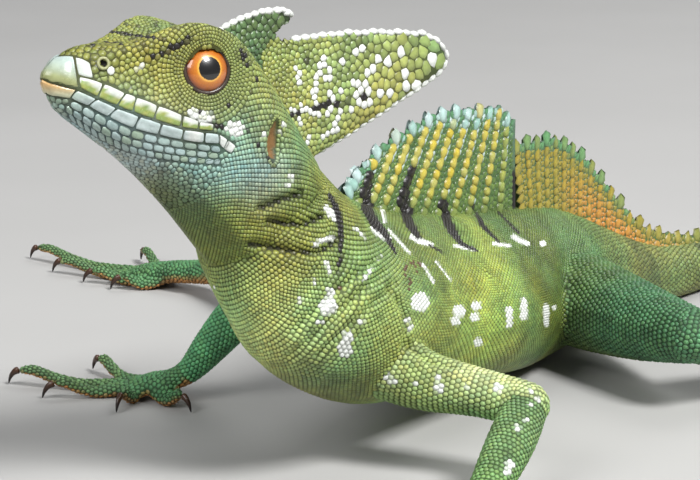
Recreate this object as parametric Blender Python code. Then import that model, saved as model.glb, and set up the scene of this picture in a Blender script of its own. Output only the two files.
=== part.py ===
"""A green basilisk, life size, standing with its head raised and its tail laid behind it.

Lengths are in millimetres in a working frame: the animal faces -Y, its left is +X, the floor is
z = 0, and x = y = 0 lies under the shoulders. mesh_object turns them into metres, and at the end
the whole animal is moved so that the middle of its box stands on the origin.
"""

import math

import bmesh
import bpy
import numpy as np

MM = 0.001
GAP = 0.3

SNOUT_TIP = np.array([-20.6, -78.2, 92.3])
HEAD_TURN = 15.3
HEAD_RAISE = 19.9
HEAD_ROLL = 1.0
HEAD_END = 70.0
THROAT_END = (52.0, -26.5)

EYE_RADIUS = 5.6
EYE_HALF_DEPTH = 4.9
EYE_BACK = 32.3
EYE_SIDE = 5.9
EYE_HEIGHT = 9.9
EYE_FORWARD = 20.0
EYE_UPWARD = 6.0
LID_OPENING = (5.5, 5.2)
LID_THICK = 1.0
LID_OUT = 2.4
NOSTRIL = (9.6, 4.4, 5.9)
NOSTRIL_SIZE = (1.0, 0.8)
EAR = (50.3, 12.0, 0.5)
EAR_SIZE = (2.3, 4.4)
EAR_LEAN = 0.18

TAIL_START = 114.0
TAIL_LENGTH = 455.0
TAIL_SWEEP = 13.0

GREEN = (0.19, 0.36, 0.045)
LIMB_GREEN = (0.045, 0.20, 0.07)
CREST_YELLOW = (0.42, 0.42, 0.07)
CASQUE_GREEN = (0.36, 0.45, 0.12)
TAIL_GREEN = (0.16, 0.24, 0.05)
EYE_ORANGE = (0.75, 0.20, 0.02)
CLAW_BROWN = (0.10, 0.045, 0.03)


def unit(vector):
    return vector / np.linalg.norm(vector)


def smooth_keys(keys, x):
    """A smooth curve through (x, y) keys that doesn't overshoot them."""
    xs, ys = np.array(keys, float).T
    if x <= xs[0] or x >= xs[-1]:
        return ys[0] if x <= xs[0] else ys[-1]
    steps = np.diff(xs)
    slopes = np.diff(ys) / steps
    tangents = np.zeros(len(xs))
    tangents[0], tangents[-1] = slopes[0], slopes[-1]
    for i in range(1, len(xs) - 1):
        if slopes[i - 1] * slopes[i] > 0:
            tangents[i] = 2 / (1 / slopes[i - 1] + 1 / slopes[i])
    i = int(np.searchsorted(xs, x) - 1)
    t = (x - xs[i]) / steps[i]
    blend = t * t * (3 - 2 * t)
    bend = steps[i] * (t * (1 - t) ** 2 * tangents[i] - t * t * (1 - t) * tangents[i + 1])
    return ys[i] + blend * (ys[i + 1] - ys[i]) + bend


def along(rows, t):
    """Catmull-Rom through the rows of a table, at t from 0 to the last row's number."""
    rows = np.asarray(rows, float)
    last = len(rows) - 1
    i = min(max(int(math.floor(t)), 0), last - 1)
    u = t - i
    before = rows[i - 1] if i > 0 else 2 * rows[0] - rows[1]
    after = rows[i + 2] if i + 2 <= last else 2 * rows[last] - rows[last - 1]
    a, b = rows[i], rows[i + 1]
    return 0.5 * (2 * a + (b - before) * u + (2 * before - 5 * a + 4 * b - after) * u * u
                  + (3 * a - before - 3 * b + after) * u ** 3)


def material(name, colour, roughness):
    made = bpy.data.materials.get(name) or bpy.data.materials.new(name)
    made.use_nodes = True
    shader = made.node_tree.nodes["Principled BSDF"]
    shader.inputs["Base Color"].default_value = (*colour, 1)
    shader.inputs["Roughness"].default_value = roughness
    shader.inputs["Metallic"].default_value = 0
    return made


def mesh_object(name, points, faces, finish=None):
    mesh = bpy.data.meshes.new(name)
    mesh.from_pydata([tuple(p * MM) for p in points], [], faces)
    body = bmesh.new()
    body.from_mesh(mesh)
    bmesh.ops.recalc_face_normals(body, faces=body.faces)
    bmesh.ops.triangulate(body, faces=[f for f in body.faces if len(f.verts) > 3])
    body.to_mesh(mesh)
    body.free()
    mesh.shade_smooth()
    mesh.set_sharp_from_angle(angle=math.radians(50))
    made = bpy.data.objects.new(name, mesh)
    bpy.context.scene.collection.objects.link(made)
    if finish:
        mesh.materials.append(finish)
    return made


def tube_of(rings):
    """Points and faces of a closed tube through rings of equal count, with flat ends."""
    count = len(rings[0])
    faces = [tuple(range(count))[::-1], tuple(range((len(rings) - 1) * count, len(rings) * count))]
    for r in range(len(rings) - 1):
        for k in range(count):
            low, high = r * count, (r + 1) * count
            faces.append((low + k, low + (k + 1) % count, high + (k + 1) % count, high + k))
    return np.concatenate(rings), faces


def replace_mesh(target, mesh):
    old = target.data
    mesh.name = old.name
    target.data = mesh
    bpy.data.meshes.remove(old)


def settle(target):
    """Applies the modifiers and keeps the largest closed surface."""
    evaluated = target.evaluated_get(bpy.context.evaluated_depsgraph_get())
    mesh = bpy.data.meshes.new_from_object(evaluated)
    target.modifiers.clear()
    replace_mesh(target, mesh)
    body = bmesh.new()
    body.from_mesh(mesh)
    bmesh.ops.triangulate(body, faces=body.faces)
    unseen = set(body.faces)
    islands = []
    while unseen:
        island, edge_of_search = set(), [next(iter(unseen))]
        while edge_of_search:
            face = edge_of_search.pop()
            if face in island:
                continue
            island.add(face)
            edge_of_search.extend(f for e in face.edges for f in e.link_faces if f not in island)
        unseen -= island
        islands.append(island)
    islands.sort(key=lambda faces: sum(f.calc_area() for f in faces))
    for island in islands[:-1]:
        bmesh.ops.delete(body, geom=list(island), context="FACES")
    body.to_mesh(mesh)
    body.free()


def boolean(target, tools, operation, solver="EXACT"):
    """Joins closed pieces to a solid, or cuts them from it, and removes them."""
    group = bpy.data.collections.new("pieces")
    bpy.context.scene.collection.children.link(group)
    for tool in tools:
        bpy.context.scene.collection.objects.unlink(tool)
        group.objects.link(tool)
        tool.hide_render = True
        tool.display_type = "WIRE"
    change = target.modifiers.new("pieces", "BOOLEAN")
    change.operation = operation
    change.operand_type = "COLLECTION"
    change.collection = group
    change.solver = solver
    settle(target)
    for tool in tools:
        bpy.data.objects.remove(tool)
    bpy.data.collections.remove(group)


def block(low, high):
    corners = [np.array([x, y, z]) for x in (low[0], high[0]) for y in (low[1], high[1])
               for z in (low[2], high[2])]
    faces = [(0, 1, 3, 2), (4, 6, 7, 5), (0, 4, 5, 1), (2, 3, 7, 6), (0, 2, 6, 4), (1, 5, 7, 3)]
    return mesh_object("block", corners, faces)


def stand_on_floor(target):
    """Cuts away what lies below the floor, which leaves small flats at z = 0."""
    low = np.array([v.co for v in target.data.vertices]).min(axis=0)[2]
    if low < 0:
        boolean(target, [block((-400, -400, -30), (400, 800, 0))], "DIFFERENCE")


# Sections of the neck, trunk and tail
# A row holds the top, the bottom and the left-pointing side vector, then the half width, the
# level of the widest place from 0 at the bottom to 1, and the fullness above and below it.


def section(top, bottom, half, level=0.45, above=1.8, below=2.1, side=(1, 0, 0)):
    return np.array([*top, *bottom, *side, half, level, above, below], float)


def ring_of(row, count, grow=0.0):
    top, bottom, side = row[0:3], row[3:6], unit(row[6:9])
    half, level, above, below = row[9:13]
    rise = top - bottom
    height = np.linalg.norm(rise)
    up = rise / height
    middle = bottom + up * height * level
    points = []
    for k in range(count):
        angle = 2 * math.pi * (k + 0.5) / count
        c, s = math.cos(angle), math.sin(angle)
        power = above if s > 0 else below
        reach = height * (1 - level if s > 0 else level) + grow
        across = math.copysign(abs(c) ** (2 / power), c) * (half + grow)
        points.append(middle + side * across + up * math.copysign(abs(s) ** (2 / power), s) * reach)
    return np.array(points)


def chain_rings(rows, start, end, step, count, grow=0.0):
    """Rings from start to end along the rows, the ends set GAP apart from their neighbours'."""
    pace = np.linalg.norm(along(rows, start + 0.1)[0:6] - along(rows, start)[0:6]) / 0.1 / 1.4
    places = np.arange(start, end + step / 2, step)
    places[0] += 0 if grow else 1.3 * GAP / pace
    places[-1] = end
    return [ring_of(along(rows, t), count, grow) for t in places]


def head_axes():
    turn, rise, roll = (math.radians(a) for a in (HEAD_TURN, HEAD_RAISE, HEAD_ROLL))
    level_forward = np.array([-math.sin(turn), -math.cos(turn), 0.0])
    level_left = np.array([math.cos(turn), -math.sin(turn), 0.0])
    straight_up = np.array([0.0, 0.0, 1.0])
    forward = level_forward * math.cos(rise) + straight_up * math.sin(rise)
    up = straight_up * math.cos(rise) - level_forward * math.sin(rise)
    left = level_left * math.cos(roll) + up * math.sin(roll)
    return -forward, left, up * math.cos(roll) - level_left * math.sin(roll)


BACKWARD, LEFTWARD, UPWARD = head_axes()


def in_head(back, left, up):
    """A point given by its way back from the snout tip, to the left and up, in the head's frame."""
    return SNOUT_TIP + BACKWARD * back + LEFTWARD * left + UPWARD * up


def tail_course():
    """The tail's middle line on the floor: a long lazy S, as (x, y) and heading every few mm."""
    step = 5.0
    x, y = 0.0, TAIL_START
    course = [(x, y, 0.0)]
    for i in range(int(TAIL_LENGTH / step)):
        share = (i + 0.5) * step / TAIL_LENGTH
        heading = math.radians(TAIL_SWEEP) * math.sin(2 * math.pi * min(share * 1.25 + 0.07, 1.2))
        x += step * math.sin(heading)
        y += step * math.cos(heading)
        course.append((x, y, heading))
    return np.array(course), step


TAIL_HEIGHT_KEYS = [(0, 31), (18, 22.6), (36, 16.2), (60, 13.2), (90, 11.6), (200, 8.8), (330, 5.4),
                    (430, 2.6), (455, 1.3)]
TAIL_WIDTH_KEYS = [(0, 23), (18, 19.5), (40, 16), (90, 11.5), (200, 8), (330, 5), (430, 2.6), (455, 1.4)]
FLOOR_SINK = 0.35


def trunk_rows():
    rows = [
        section(in_head(HEAD_END, 0, 0), in_head(THROAT_END[0], 0, THROAT_END[1]), 12.6, 0.5, 2.1, 1.9, LEFTWARD),
        section((-2, -10.5, 64), (-5.5, -36, 38.5), 13.4, 0.5, 2.0, 2.0, LEFTWARD + (0.3, 0, 0)),
        section((0, -6.5, 59.7), (-1, -28.5, 26.5), 14.9, 0.48, 1.8, 2.0),
        section((0, 3.5, 55.6), (0, -12.5, 16.5), 16.9, 0.45),
        section((0, 18, 51), (0, 3, 11), 17.2, 0.45, 1.7),
        section((0, 32, 47.8), (0, 24, 8.5), 17.6, 0.42, 1.6),
        section((0, 50, 44.2), (0, 48, 5), 19.1, 0.42, 1.6),
        section((0, 70, 41.3), (0, 70, 1), 16.2, 0.42, 1.6),
        section((0, 88, 38.3), (0, 88, -FLOOR_SINK), 13, 0.42, 1.7),
        section((0, 101, 35.5), (0, 102, -FLOOR_SINK), 12.6, 0.45, 1.8),
    ]
    course, step = tail_course()
    for distance in (0, 18, 40, 65, 95, 130, 170, 215, 260, 305, 350, 395, 430, 455):
        x, y, heading = course[int(round(distance / step))]
        height = smooth_keys(TAIL_HEIGHT_KEYS, distance)
        half = smooth_keys(TAIL_WIDTH_KEYS, distance) / 2
        side = (math.cos(heading), -math.sin(heading), 0)
        rows.append(section((x, y, height), (x, y, -FLOOR_SINK), half, 0.45, 2.0, 2.0, side))
    return rows


TRUNK = trunk_rows()
NECK_END, TORSO_END = 2, 9
TRUNK_STEP, TAIL_STEP = 1 / 3, 0.5
TRUNK_SIDES, TAIL_SIDES, THIN_TAIL_SIDES = 32, 18, 14
TAIL_CUTS = [("tail_base", 9, 12), ("tail_front", 12, 15), ("tail_middle", 15, 18), ("tail_rear", 18, 23)]


def trunk_part(name, start, end, step, count, finish):
    made = mesh_object(name, *tube_of(chain_rings(TRUNK, start, end, step, count)), finish)
    stand_on_floor(made)
    return made


def grown_trunk(start, end, step=TRUNK_STEP, count=TRUNK_SIDES):
    """A slightly larger copy of a length of the body, which cuts its neighbours clear of it."""
    return mesh_object("grown_trunk", *tube_of(chain_rings(TRUNK, start, end, step, count, GAP)))


# The head

CROWN_UP = [(0, 5.0), (3, 6.9), (8, 8.9), (16, 10.8), (23, 13.6), (30, 16), (37, 16.6), (44, 15.4),
            (53, 11.4), (61, 6.4), (70, 0)]
BROW_SIDE = [(0, 1.8), (9, 3.7), (17, 6.2), (23, 8.3), (29, 9.6), (36, 9.5), (45, 8.0), (70, 7.0)]
BROW_UP = [(0, 4.2), (9, 7.9), (17, 12.2), (22, 16.4), (28, 18.7), (34, 18.6), (40, 17), (46, 14),
           (53, 9.6), (61, 4), (70, -2)]
SIDE_SIDE = [(0, 2.3), (9, 4.3), (17, 5.9), (24, 7.1), (28, 8.0), (33, 9.7), (38, 10.6), (47, 11.7),
             (53, 12.3), (70, 12.5)]
SIDE_UP = [(0, 2.2), (9, 5.0), (17, 6.6), (31, 8.8), (43, 7), (53, 2), (61, -4), (70, -10)]
LIP_SIDE = [(0, 2.4), (5, 4.0), (10, 5.4), (17, 7.1), (24, 8.6), (32, 10.1), (41, 11.0), (49, 11.8),
            (58, 12.4), (70, 12.6)]
MOUTH_UP = [(0, -0.5), (9, -0.8), (20, -1.8), (32, -2.4), (36, -1.7), (41, -3.1), (52, -7.5), (70, -16)]
LIP_HEIGHT = [(0, 1.6), (20, 2.4), (40, 2.6), (70, 2.6)]
LOWER_SIDE = [(0, 1.9), (5, 3.2), (10, 4.6), (17, 6.3), (25, 7.9), (36, 9.6), (47, 11), (70, 12.2)]
JAW_UP = [(0, -3.0), (6, -4.5), (22, -8.5), (37, -13.2), (49, -18.8), (70, -31)]
JAW_SIDE = [(0, 1.4), (6, 2.6), (17, 4.8), (30, 7.0), (43, 8.7), (53, 9.5), (70, 9.8)]
THROAT_UP = [(0, -3.6), (6, -5.4), (22.7, -10.7), (36.8, -17.2), (48.6, -24), (60, -31.3)]
NOSE_ROUND = 7.0
NOSE_HEIGHT = 1.0
TILT_START = 36.0
END_TILT = (HEAD_END - THROAT_END[0]) / -THROAT_END[1]
LIP_GROOVE = 0.75
MOUTH_CORNER = 41.0


def head_profile(back):
    """One side of a section from the crown down to the throat, as rows of (back, side, up)."""
    tilt = END_TILT * max(0.0, (back - TILT_START) / (HEAD_END - TILT_START))
    crown = smooth_keys(CROWN_UP, back)

    def rail(side_keys, up_keys, lift=0.0):
        at = back
        for _ in range(8):
            at = back + tilt * (smooth_keys(up_keys, at) + lift - crown)
        side = smooth_keys(side_keys, at) if side_keys else 0.0
        return np.array([at, side, smooth_keys(up_keys, at) + lift])

    lip = smooth_keys(LIP_HEIGHT, back)
    upper_lip = rail(LIP_SIDE, MOUTH_UP, lip)
    mouth_above = rail(LIP_SIDE, MOUTH_UP, 0.45)
    mouth_below = rail(LIP_SIDE, MOUTH_UP, -0.45)
    mouth = rail(LIP_SIDE, MOUTH_UP)
    lower_lip = rail(LOWER_SIDE, MOUTH_UP, -lip)
    depth = LIP_GROOVE * min(1.0, max(0.0, (MOUTH_CORNER - mouth[0]) / 3))
    mouth[1] -= depth
    upper_lip[1] += 0.25
    points = [rail(None, CROWN_UP), rail(BROW_SIDE, BROW_UP), rail(SIDE_SIDE, SIDE_UP), upper_lip,
              mouth_above, mouth, mouth_below, lower_lip, rail(JAW_SIDE, JAW_UP), rail(None, THROAT_UP)]
    finer = [3, 3, 2, 1, 1, 1, 1, 2, 2]
    profile = []
    for i, parts in enumerate(finer):
        for k in range(parts):
            profile.append(along(points, i + k / parts) if parts > 1 else points[i])
    profile.append(points[-1])
    close = math.sqrt(max(0.0, 1 - (1 - min(back, NOSE_ROUND) / NOSE_ROUND) ** 2))
    for point in profile:
        point[1] *= close
        point[2] = NOSE_HEIGHT + (point[2] - NOSE_HEIGHT) * close
    profile[0][1] = profile[-1][1] = 0.0
    return profile


def head_rings(end, grow=0.0):
    places = [0.15, 0.8, 2.0, 3.6, 5.6] + list(np.linspace(8, end, 19))
    rings = []
    for back in places:
        profile = np.array(head_profile(back))
        middle = profile.mean(axis=0) * (1, 0, 1)
        left = [in_head(*p) for p in profile]
        right = [in_head(p[0], -p[1], p[2]) for p in profile[-2:0:-1]]
        ring = np.array(left + right)
        if grow:
            centre = in_head(*middle)
            ring += grow * np.array([unit(p - centre) for p in ring])
        rings.append(ring)
    return rings


def frame_about(axis, lean=0.0):
    """The axis and two directions square to it: one mostly backward, one mostly upward."""
    axis = unit(axis)
    across = unit(BACKWARD - axis * (BACKWARD @ axis))
    upright = np.cross(axis, across)
    upright = upright if upright @ UPWARD > 0 else -upright
    turned_across = across * math.cos(lean) + upright * math.sin(lean)
    turned_up = upright * math.cos(lean) - across * math.sin(lean)
    return axis, turned_across, turned_up


def oval_ball(centre, axis, wide, tall, depth, count, rows, lean=0.0):
    """A closed egg whose poles lie on the axis: an eyeball, or a cutter that leaves a cup."""
    axis, across, upright = frame_about(axis, lean)
    rings = []
    for r in range(rows + 1):
        level = math.pi * (0.02 + 0.96 * r / rows)
        rings.append(np.array([centre - axis * depth * math.cos(level) + math.sin(level) * (
            across * wide * math.cos(t) + upright * tall * math.sin(t))
            for t in (2 * math.pi * k / count for k in range(count))]))
    return tube_of(rings)


def hoop(centre, axis, wide, tall, thick, count, sides, lean=0.0):
    """A ring round an axis, such as an eyelid, a nostril's rim or an ear's rim."""
    axis, across, upright = frame_about(axis, lean)
    points, faces = [], []
    for k in range(count):
        angle = 2 * math.pi * k / count
        out = across * math.cos(angle) * wide + upright * math.sin(angle) * tall
        for s in range(sides):
            turn = 2 * math.pi * s / sides
            points.append(centre + out + thick * (unit(out) * math.cos(turn) + axis * math.sin(turn)))
    for k in range(count):
        for s in range(sides):
            a, b = k * sides + s, k * sides + (s + 1) % sides
            c, d = ((k + 1) % count) * sides + (s + 1) % sides, ((k + 1) % count) * sides + s
            faces.append((a, b, c, d))
    return mesh_object("hoop", np.array(points), faces)


def eye_centre(side):
    return in_head(EYE_BACK, side * EYE_SIDE, EYE_HEIGHT)


def eye_axis(side):
    forward, up = math.radians(EYE_FORWARD), math.radians(EYE_UPWARD)
    level = LEFTWARD * side * math.cos(forward) - BACKWARD * math.sin(forward)
    return level * math.cos(up) + UPWARD * math.sin(up)


def eyeball(side, grow=0.0):
    across = EYE_RADIUS + grow
    return oval_ball(eye_centre(side), eye_axis(side), across, across, EYE_HALF_DEPTH + grow, 16, 8)


def head(finish):
    made = mesh_object("head", *tube_of(head_rings(HEAD_END)), finish)
    added, cut = [], []
    for side in (1, -1):
        gaze = eye_axis(side)
        added.append(hoop(eye_centre(side) + gaze * LID_OUT, gaze, *LID_OPENING, LID_THICK, 18, 6))
        cut.append(mesh_object("socket", *eyeball(side, GAP)))

        nostril = in_head(NOSTRIL[0], side * NOSTRIL[1], NOSTRIL[2])
        axis = unit(LEFTWARD * side - BACKWARD * 0.3 + UPWARD * 0.3)
        wide, tall = NOSTRIL_SIZE
        added.append(hoop(nostril, axis, wide + 0.2, tall + 0.2, 0.5, 9, 4))
        cut.append(mesh_object("cup", *oval_ball(nostril + axis * 0.3, axis, wide, tall, 1.3, 9, 4)))

        ear = in_head(EAR[0], side * EAR[1], EAR[2])
        axis = unit(LEFTWARD * side + BACKWARD * 0.1)
        wide, tall = EAR_SIZE
        lean = EAR_LEAN
        added.append(hoop(ear - axis * 0.2, axis, wide + 0.3, tall + 0.3, 0.6, 14, 4, lean))
        cut.append(mesh_object("cup", *oval_ball(ear + axis * 0.3, axis, wide, tall, 1.7, 14, 5, lean)))
    boolean(made, added, "UNION")
    boolean(made, cut, "DIFFERENCE")
    return made


def eye(name, side, finish):
    return mesh_object(name, *eyeball(side), finish)


def grown_head():
    return mesh_object("grown_head", *tube_of(head_rings(HEAD_END, GAP)))


# Crests

def fin_mesh(name, root, edge, thickness, columns, rows, finish):
    """A blade between a root line and an edge line, both functions from 0 to 1.

    thickness(s, v) is its thickness at s along it and v from root to edge, and root and edge give
    the point there and the blade's own left-pointing side vector."""
    left, right = [], []
    for i in range(columns + 1):
        s = i / columns
        low, side = root(s)
        high, _ = edge(s)
        for j in range(rows + 1):
            v = j / rows
            point = low * (1 - v) + high * v
            half = thickness(s, v) / 2
            left.append(point + side * half)
            right.append(point - side * half)
    count = (columns + 1) * (rows + 1)
    points = np.array(left + right)
    faces = []

    def at(i, j):
        return i * (rows + 1) + j

    for i in range(columns):
        for j in range(rows):
            a, b, c, d = at(i, j), at(i + 1, j), at(i + 1, j + 1), at(i, j + 1)
            faces += [(a, b, c), (a, c, d)]
            faces += [(count + a, count + c, count + b), (count + a, count + d, count + c)]
    border = [at(i, 0) for i in range(columns)] + [at(columns, j) for j in range(rows)]
    border += [at(i, rows) for i in range(columns, 0, -1)] + [at(0, j) for j in range(rows, 0, -1)]
    for k, a in enumerate(border):
        b = border[(k + 1) % len(border)]
        faces.append((a, b, count + b))
        faces.append((a, count + b, count + a))
    return mesh_object(name, points, faces, finish)


def back_height(y):
    keys = [(row[1], row[2]) for row in TRUNK if row[1] > -8]
    return smooth_keys(keys, y)


DORSAL_START, DORSAL_END = -5.0, 77.0
DORSAL_TOP = [(-5, 59.8), (1.3, 60.8), (7.7, 64.0), (16.5, 66.6), (31, 68.4), (41.4, 69), (52, 67.8),
              (63, 66.2), (71, 65.4), (78.5, 60.5)]
DORSAL_RAYS = 16
DORSAL_LEAN = 21.0
LEADING_LEAN = 8.0
CREST_SINK = 3.0
RAY_RAISE = 0.9
SCALLOP = 1.5


def ray_phase(s, rays):
    """1 on a ray and 0 midway between two of them, with s from 0 to 1 along the crest."""
    return 0.5 + 0.5 * math.cos(2 * math.pi * rays * s)


def dorsal_crest(finish):
    side = np.array([1.0, 0, 0])
    span = DORSAL_END - DORSAL_START

    def root(s):
        y = DORSAL_START + span * s - DORSAL_LEAN * s * (1 - s)
        return np.array([0, y, back_height(y) - CREST_SINK]), side

    def edge(s):
        y = DORSAL_START + LEADING_LEAN * (1 - s) + span * s + DORSAL_LEAN * s * (1 - s) + s
        fade = min(1.0, 8 * s + 0.3)
        tip = SCALLOP * fade * (ray_phase(s, DORSAL_RAYS) - 0.6)
        return np.array([0, y + tip * 0.5, smooth_keys(DORSAL_TOP, y) + tip]), side

    def thickness(s, v):
        plain = 2.4 - 1.8 * min(1.0, v * 1.3)
        return plain + RAY_RAISE * ray_phase(s, DORSAL_RAYS) * (1 - 0.5 * v)

    made = fin_mesh("dorsal_crest", root, edge, thickness, 4 * DORSAL_RAYS, 3, finish)
    boolean(made, [grown_trunk(1, TORSO_END)], "DIFFERENCE")
    return made


TAIL_CREST_START, TAIL_CREST_END = 81.5, 198.0
TAIL_CREST_TOP = [(79, 55.4), (89, 54.2), (100, 53), (108, 50.4), (116, 46.4), (122, 42.2), (129, 36.2),
                  (137, 29.4), (142, 25.2), (148, 21.4), (157, 18.2), (170, 15.2), (198, 11.8)]
TAIL_RAYS = 25
TAIL_LEAN = 12.0
TAIL_SCALLOP = 1.7
SLIT_CLOSE = 2.4


def tail_point(y):
    """The point on the tail's middle line at a given y, and its side vector."""
    course, _ = tail_course()
    if y <= TAIL_START:
        return 0.0, np.array([1.0, 0, 0])
    x = np.interp(y, course[:, 1], course[:, 0])
    heading = np.interp(y, course[:, 1], course[:, 2])
    return x, np.array([math.cos(heading), -math.sin(heading), 0])


def tail_crest(finish):
    reach = TAIL_CREST_END - TAIL_CREST_START

    def root(s):
        y = TAIL_CREST_START + reach * s
        x, side = tail_point(y)
        return np.array([x, y, back_height(y) - CREST_SINK]), side

    def edge(s):
        y = TAIL_CREST_START + reach * s + TAIL_LEAN * s * (1 - s) - SLIT_CLOSE * (1 - s) ** 8
        x, side = tail_point(y)
        tip = TAIL_SCALLOP * (1 - 0.7 * s) * (ray_phase(s, TAIL_RAYS) - 0.6)
        return np.array([x, y + tip * 0.4, smooth_keys(TAIL_CREST_TOP, y) + tip]), side

    def thickness(s, v):
        plain = 2.3 - 1.7 * min(1.0, v * 1.2)
        return plain + RAY_RAISE * ray_phase(s, TAIL_RAYS) * (1 - 0.5 * v)

    made = fin_mesh("tail_crest", root, edge, thickness, 2 * TAIL_RAYS, 3, finish)
    boolean(made, [grown_trunk(6, TORSO_END), grown_trunk(TORSO_END, 14, TAIL_STEP, TAIL_SIDES)], "DIFFERENCE")
    return made


FRONT_FIN_EDGE = [(37.5, 17.4), (43, 22.0), (49.9, 25.9), (54.7, 27.4), (58.4, 27.0), (55.2, 23.9),
                  (52.3, 20.4), (51.8, 15)]
CASQUE_EDGE = [(52.6, 19.8), (59.3, 22.4), (68.7, 25.6), (78.6, 28.6), (90.4, 31.5), (100.3, 32.9),
               (106.2, 30.1), (104.7, 25.3), (95.2, 17.5), (82.6, 7.6), (72.5, 0.4)]
FRONT_TEETH, CASQUE_TEETH = 11, 15
FIN_TOOTH = 0.7
FRONT_FIN_ROOT = (37.5, 51.8)
CASQUE_ROOT = (52.7, 69.5)
FRONT_FIN_THICK = (4.0, 1.2)
CASQUE_THICK = (6.5, 1.4)
FIN_SINK = 2.5


def head_fin(name, root_span, edge_points, thick, teeth, finish):
    """A fin that rises from the crown's middle line, thick at its root and thin at its rim."""
    base, rim = thick

    def root(s):
        back = root_span[0] + (root_span[1] - root_span[0]) * s
        return in_head(back, 0, smooth_keys(CROWN_UP, back) - FIN_SINK), LEFTWARD

    def edge(s):
        back, up = along(edge_points, s * (len(edge_points) - 1))
        return in_head(back, 0, up + FIN_TOOTH * (ray_phase(s, teeth) - 0.5) * 4 * s * (1 - s)), LEFTWARD

    def thickness(s, v):
        return rim + (base - rim) * (1 - v) ** 1.3

    made = fin_mesh(name, root, edge, thickness, 2 * teeth, 3, finish)
    boolean(made, [grown_head(), grown_trunk(0, 3)], "DIFFERENCE")
    return made


# Legs

def limb_rings(points, widths, heights, start, end, step, count, up_hint=(0, 0, 1), grow=0.0, domed=False):
    """Oval rings round a smooth line, kept from turning about it, with a domed end where asked."""
    table = np.column_stack([np.array(points, float), widths, heights])
    places = np.arange(start, end + step / 2, step)
    places[-1] = end
    up = np.array(up_hint, float)
    angles = [2 * math.pi * (k + 0.5) / count for k in range(count)]

    def oval(centre, side, up, width, height):
        return np.array([centre + side * width * math.cos(a) + up * height * math.sin(a) for a in angles])

    rings = []
    for t in places:
        row = along(table, t)
        ahead = unit(along(table, t + 0.02)[:3] - along(table, t - 0.02)[:3])
        side = unit(np.cross(ahead, up))
        up = np.cross(side, ahead)
        width, height = row[3] / 2 + grow, row[4] / 2 + grow
        rings.append(oval(row[:3], side, up, width, height))
    if domed:
        reach = (width + height) / 2
        for turn in (0.5, 1.0, 1.4):
            size = math.cos(turn)
            rings.append(oval(row[:3] + ahead * reach * math.sin(turn), side, up, width * size, height * size))
    return rings


LIMBS = {
    "arm_left": {
        "upper": [(7, -3, 24), (18, -1.5, 20.2), (30, 0.4, 18.9), (41.3, 1.8, 17.4)],
        "upper_width": [15, 13, 10.8, 10.0], "upper_height": [17, 13.4, 10.6, 10.0],
        "lower": [(41.5, 1.5, 17.1), (43.2, -9, 12.8), (44.8, -20, 8.6), (46.2, -30, 5.4), (46.8, -36, 4.2)],
        "lower_width": [9.6, 10.2, 8.8, 7.0, 7.6], "lower_height": [9.6, 10.2, 8.4, 6.0, 4.8]},
    "arm_right": {
        "upper": [(-9, -2.5, 33), (-17, 1.5, 32.5), (-26, 11, 31.5), (-34, 20, 29)],
        "upper_width": [14, 12.6, 10.6, 10.0], "upper_height": [16, 14, 10.6, 10.0],
        "lower": [(-34.3, 20, 28.5), (-40.5, 18.3, 21.5), (-46.5, 16.5, 14), (-51.5, 14.8, 7.6),
                  (-56, 13.6, 5)],
        "lower_width": [9.6, 10.2, 8.8, 7.2, 7.8], "lower_height": [9.6, 10.2, 8.6, 6.2, 4.8]},
    "leg_left": {
        "upper": [(5, 95, 15.6), (15, 90.5, 15), (33, 79, 15.9), (51, 67, 17.8)],
        "upper_width": [26, 25, 19.6, 13.2], "upper_height": [24, 23, 19, 13.4],
        "lower": [(51.3, 67.3, 17.6), (56, 79, 14.2), (62, 92, 10.5), (67, 103, 7.2), (71.5, 107.5, 5.4)],
        "lower_width": [12.4, 14, 11.6, 8.8, 9.2], "lower_height": [12.6, 13.4, 10.6, 8.0, 6.6]},
    "leg_right": {
        "upper": [(-5, 97, 17), (-15, 94, 17.2), (-34, 86, 19.6), (-54, 79.5, 22)],
        "upper_width": [26, 25, 19.6, 13.2], "upper_height": [24, 23, 19, 13.4],
        "lower": [(-54.4, 79.6, 21.8), (-68, 85, 17), (-82, 91, 12.2), (-96, 96.6, 8.2), (-102.5, 99, 6.2)],
        "lower_width": [12.4, 14, 11.6, 8.8, 9.2], "lower_height": [12.6, 13.4, 10.6, 8.2, 6.8]},
}
LIMB_SIDES = 11
LIMB_STEP = 3 / 7


def upper_limb(spec, grow=0.0):
    return tube_of(limb_rings(spec["upper"], spec["upper_width"], spec["upper_height"], 0, 3, LIMB_STEP,
                              LIMB_SIDES, grow=grow, domed=True))


def limb_parts(limb, upper_name, lower_name, finish):
    spec = LIMBS[limb]
    made_upper = mesh_object(upper_name, *upper_limb(spec), finish)
    lower = tube_of(limb_rings(spec["lower"], spec["lower_width"], spec["lower_height"], 0, 3, LIMB_STEP,
                               LIMB_SIDES))
    made_lower = mesh_object(lower_name, *lower, finish)
    boolean(made_lower, [mesh_object("grown_upper", *upper_limb(spec, GAP))], "DIFFERENCE")
    boolean(made_upper, [grown_trunk(1, TORSO_END), grown_trunk(TORSO_END, 12, TAIL_STEP, TAIL_SIDES)],
            "DIFFERENCE")
    stand_on_floor(made_lower)
    stand_on_floor(made_upper)


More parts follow.
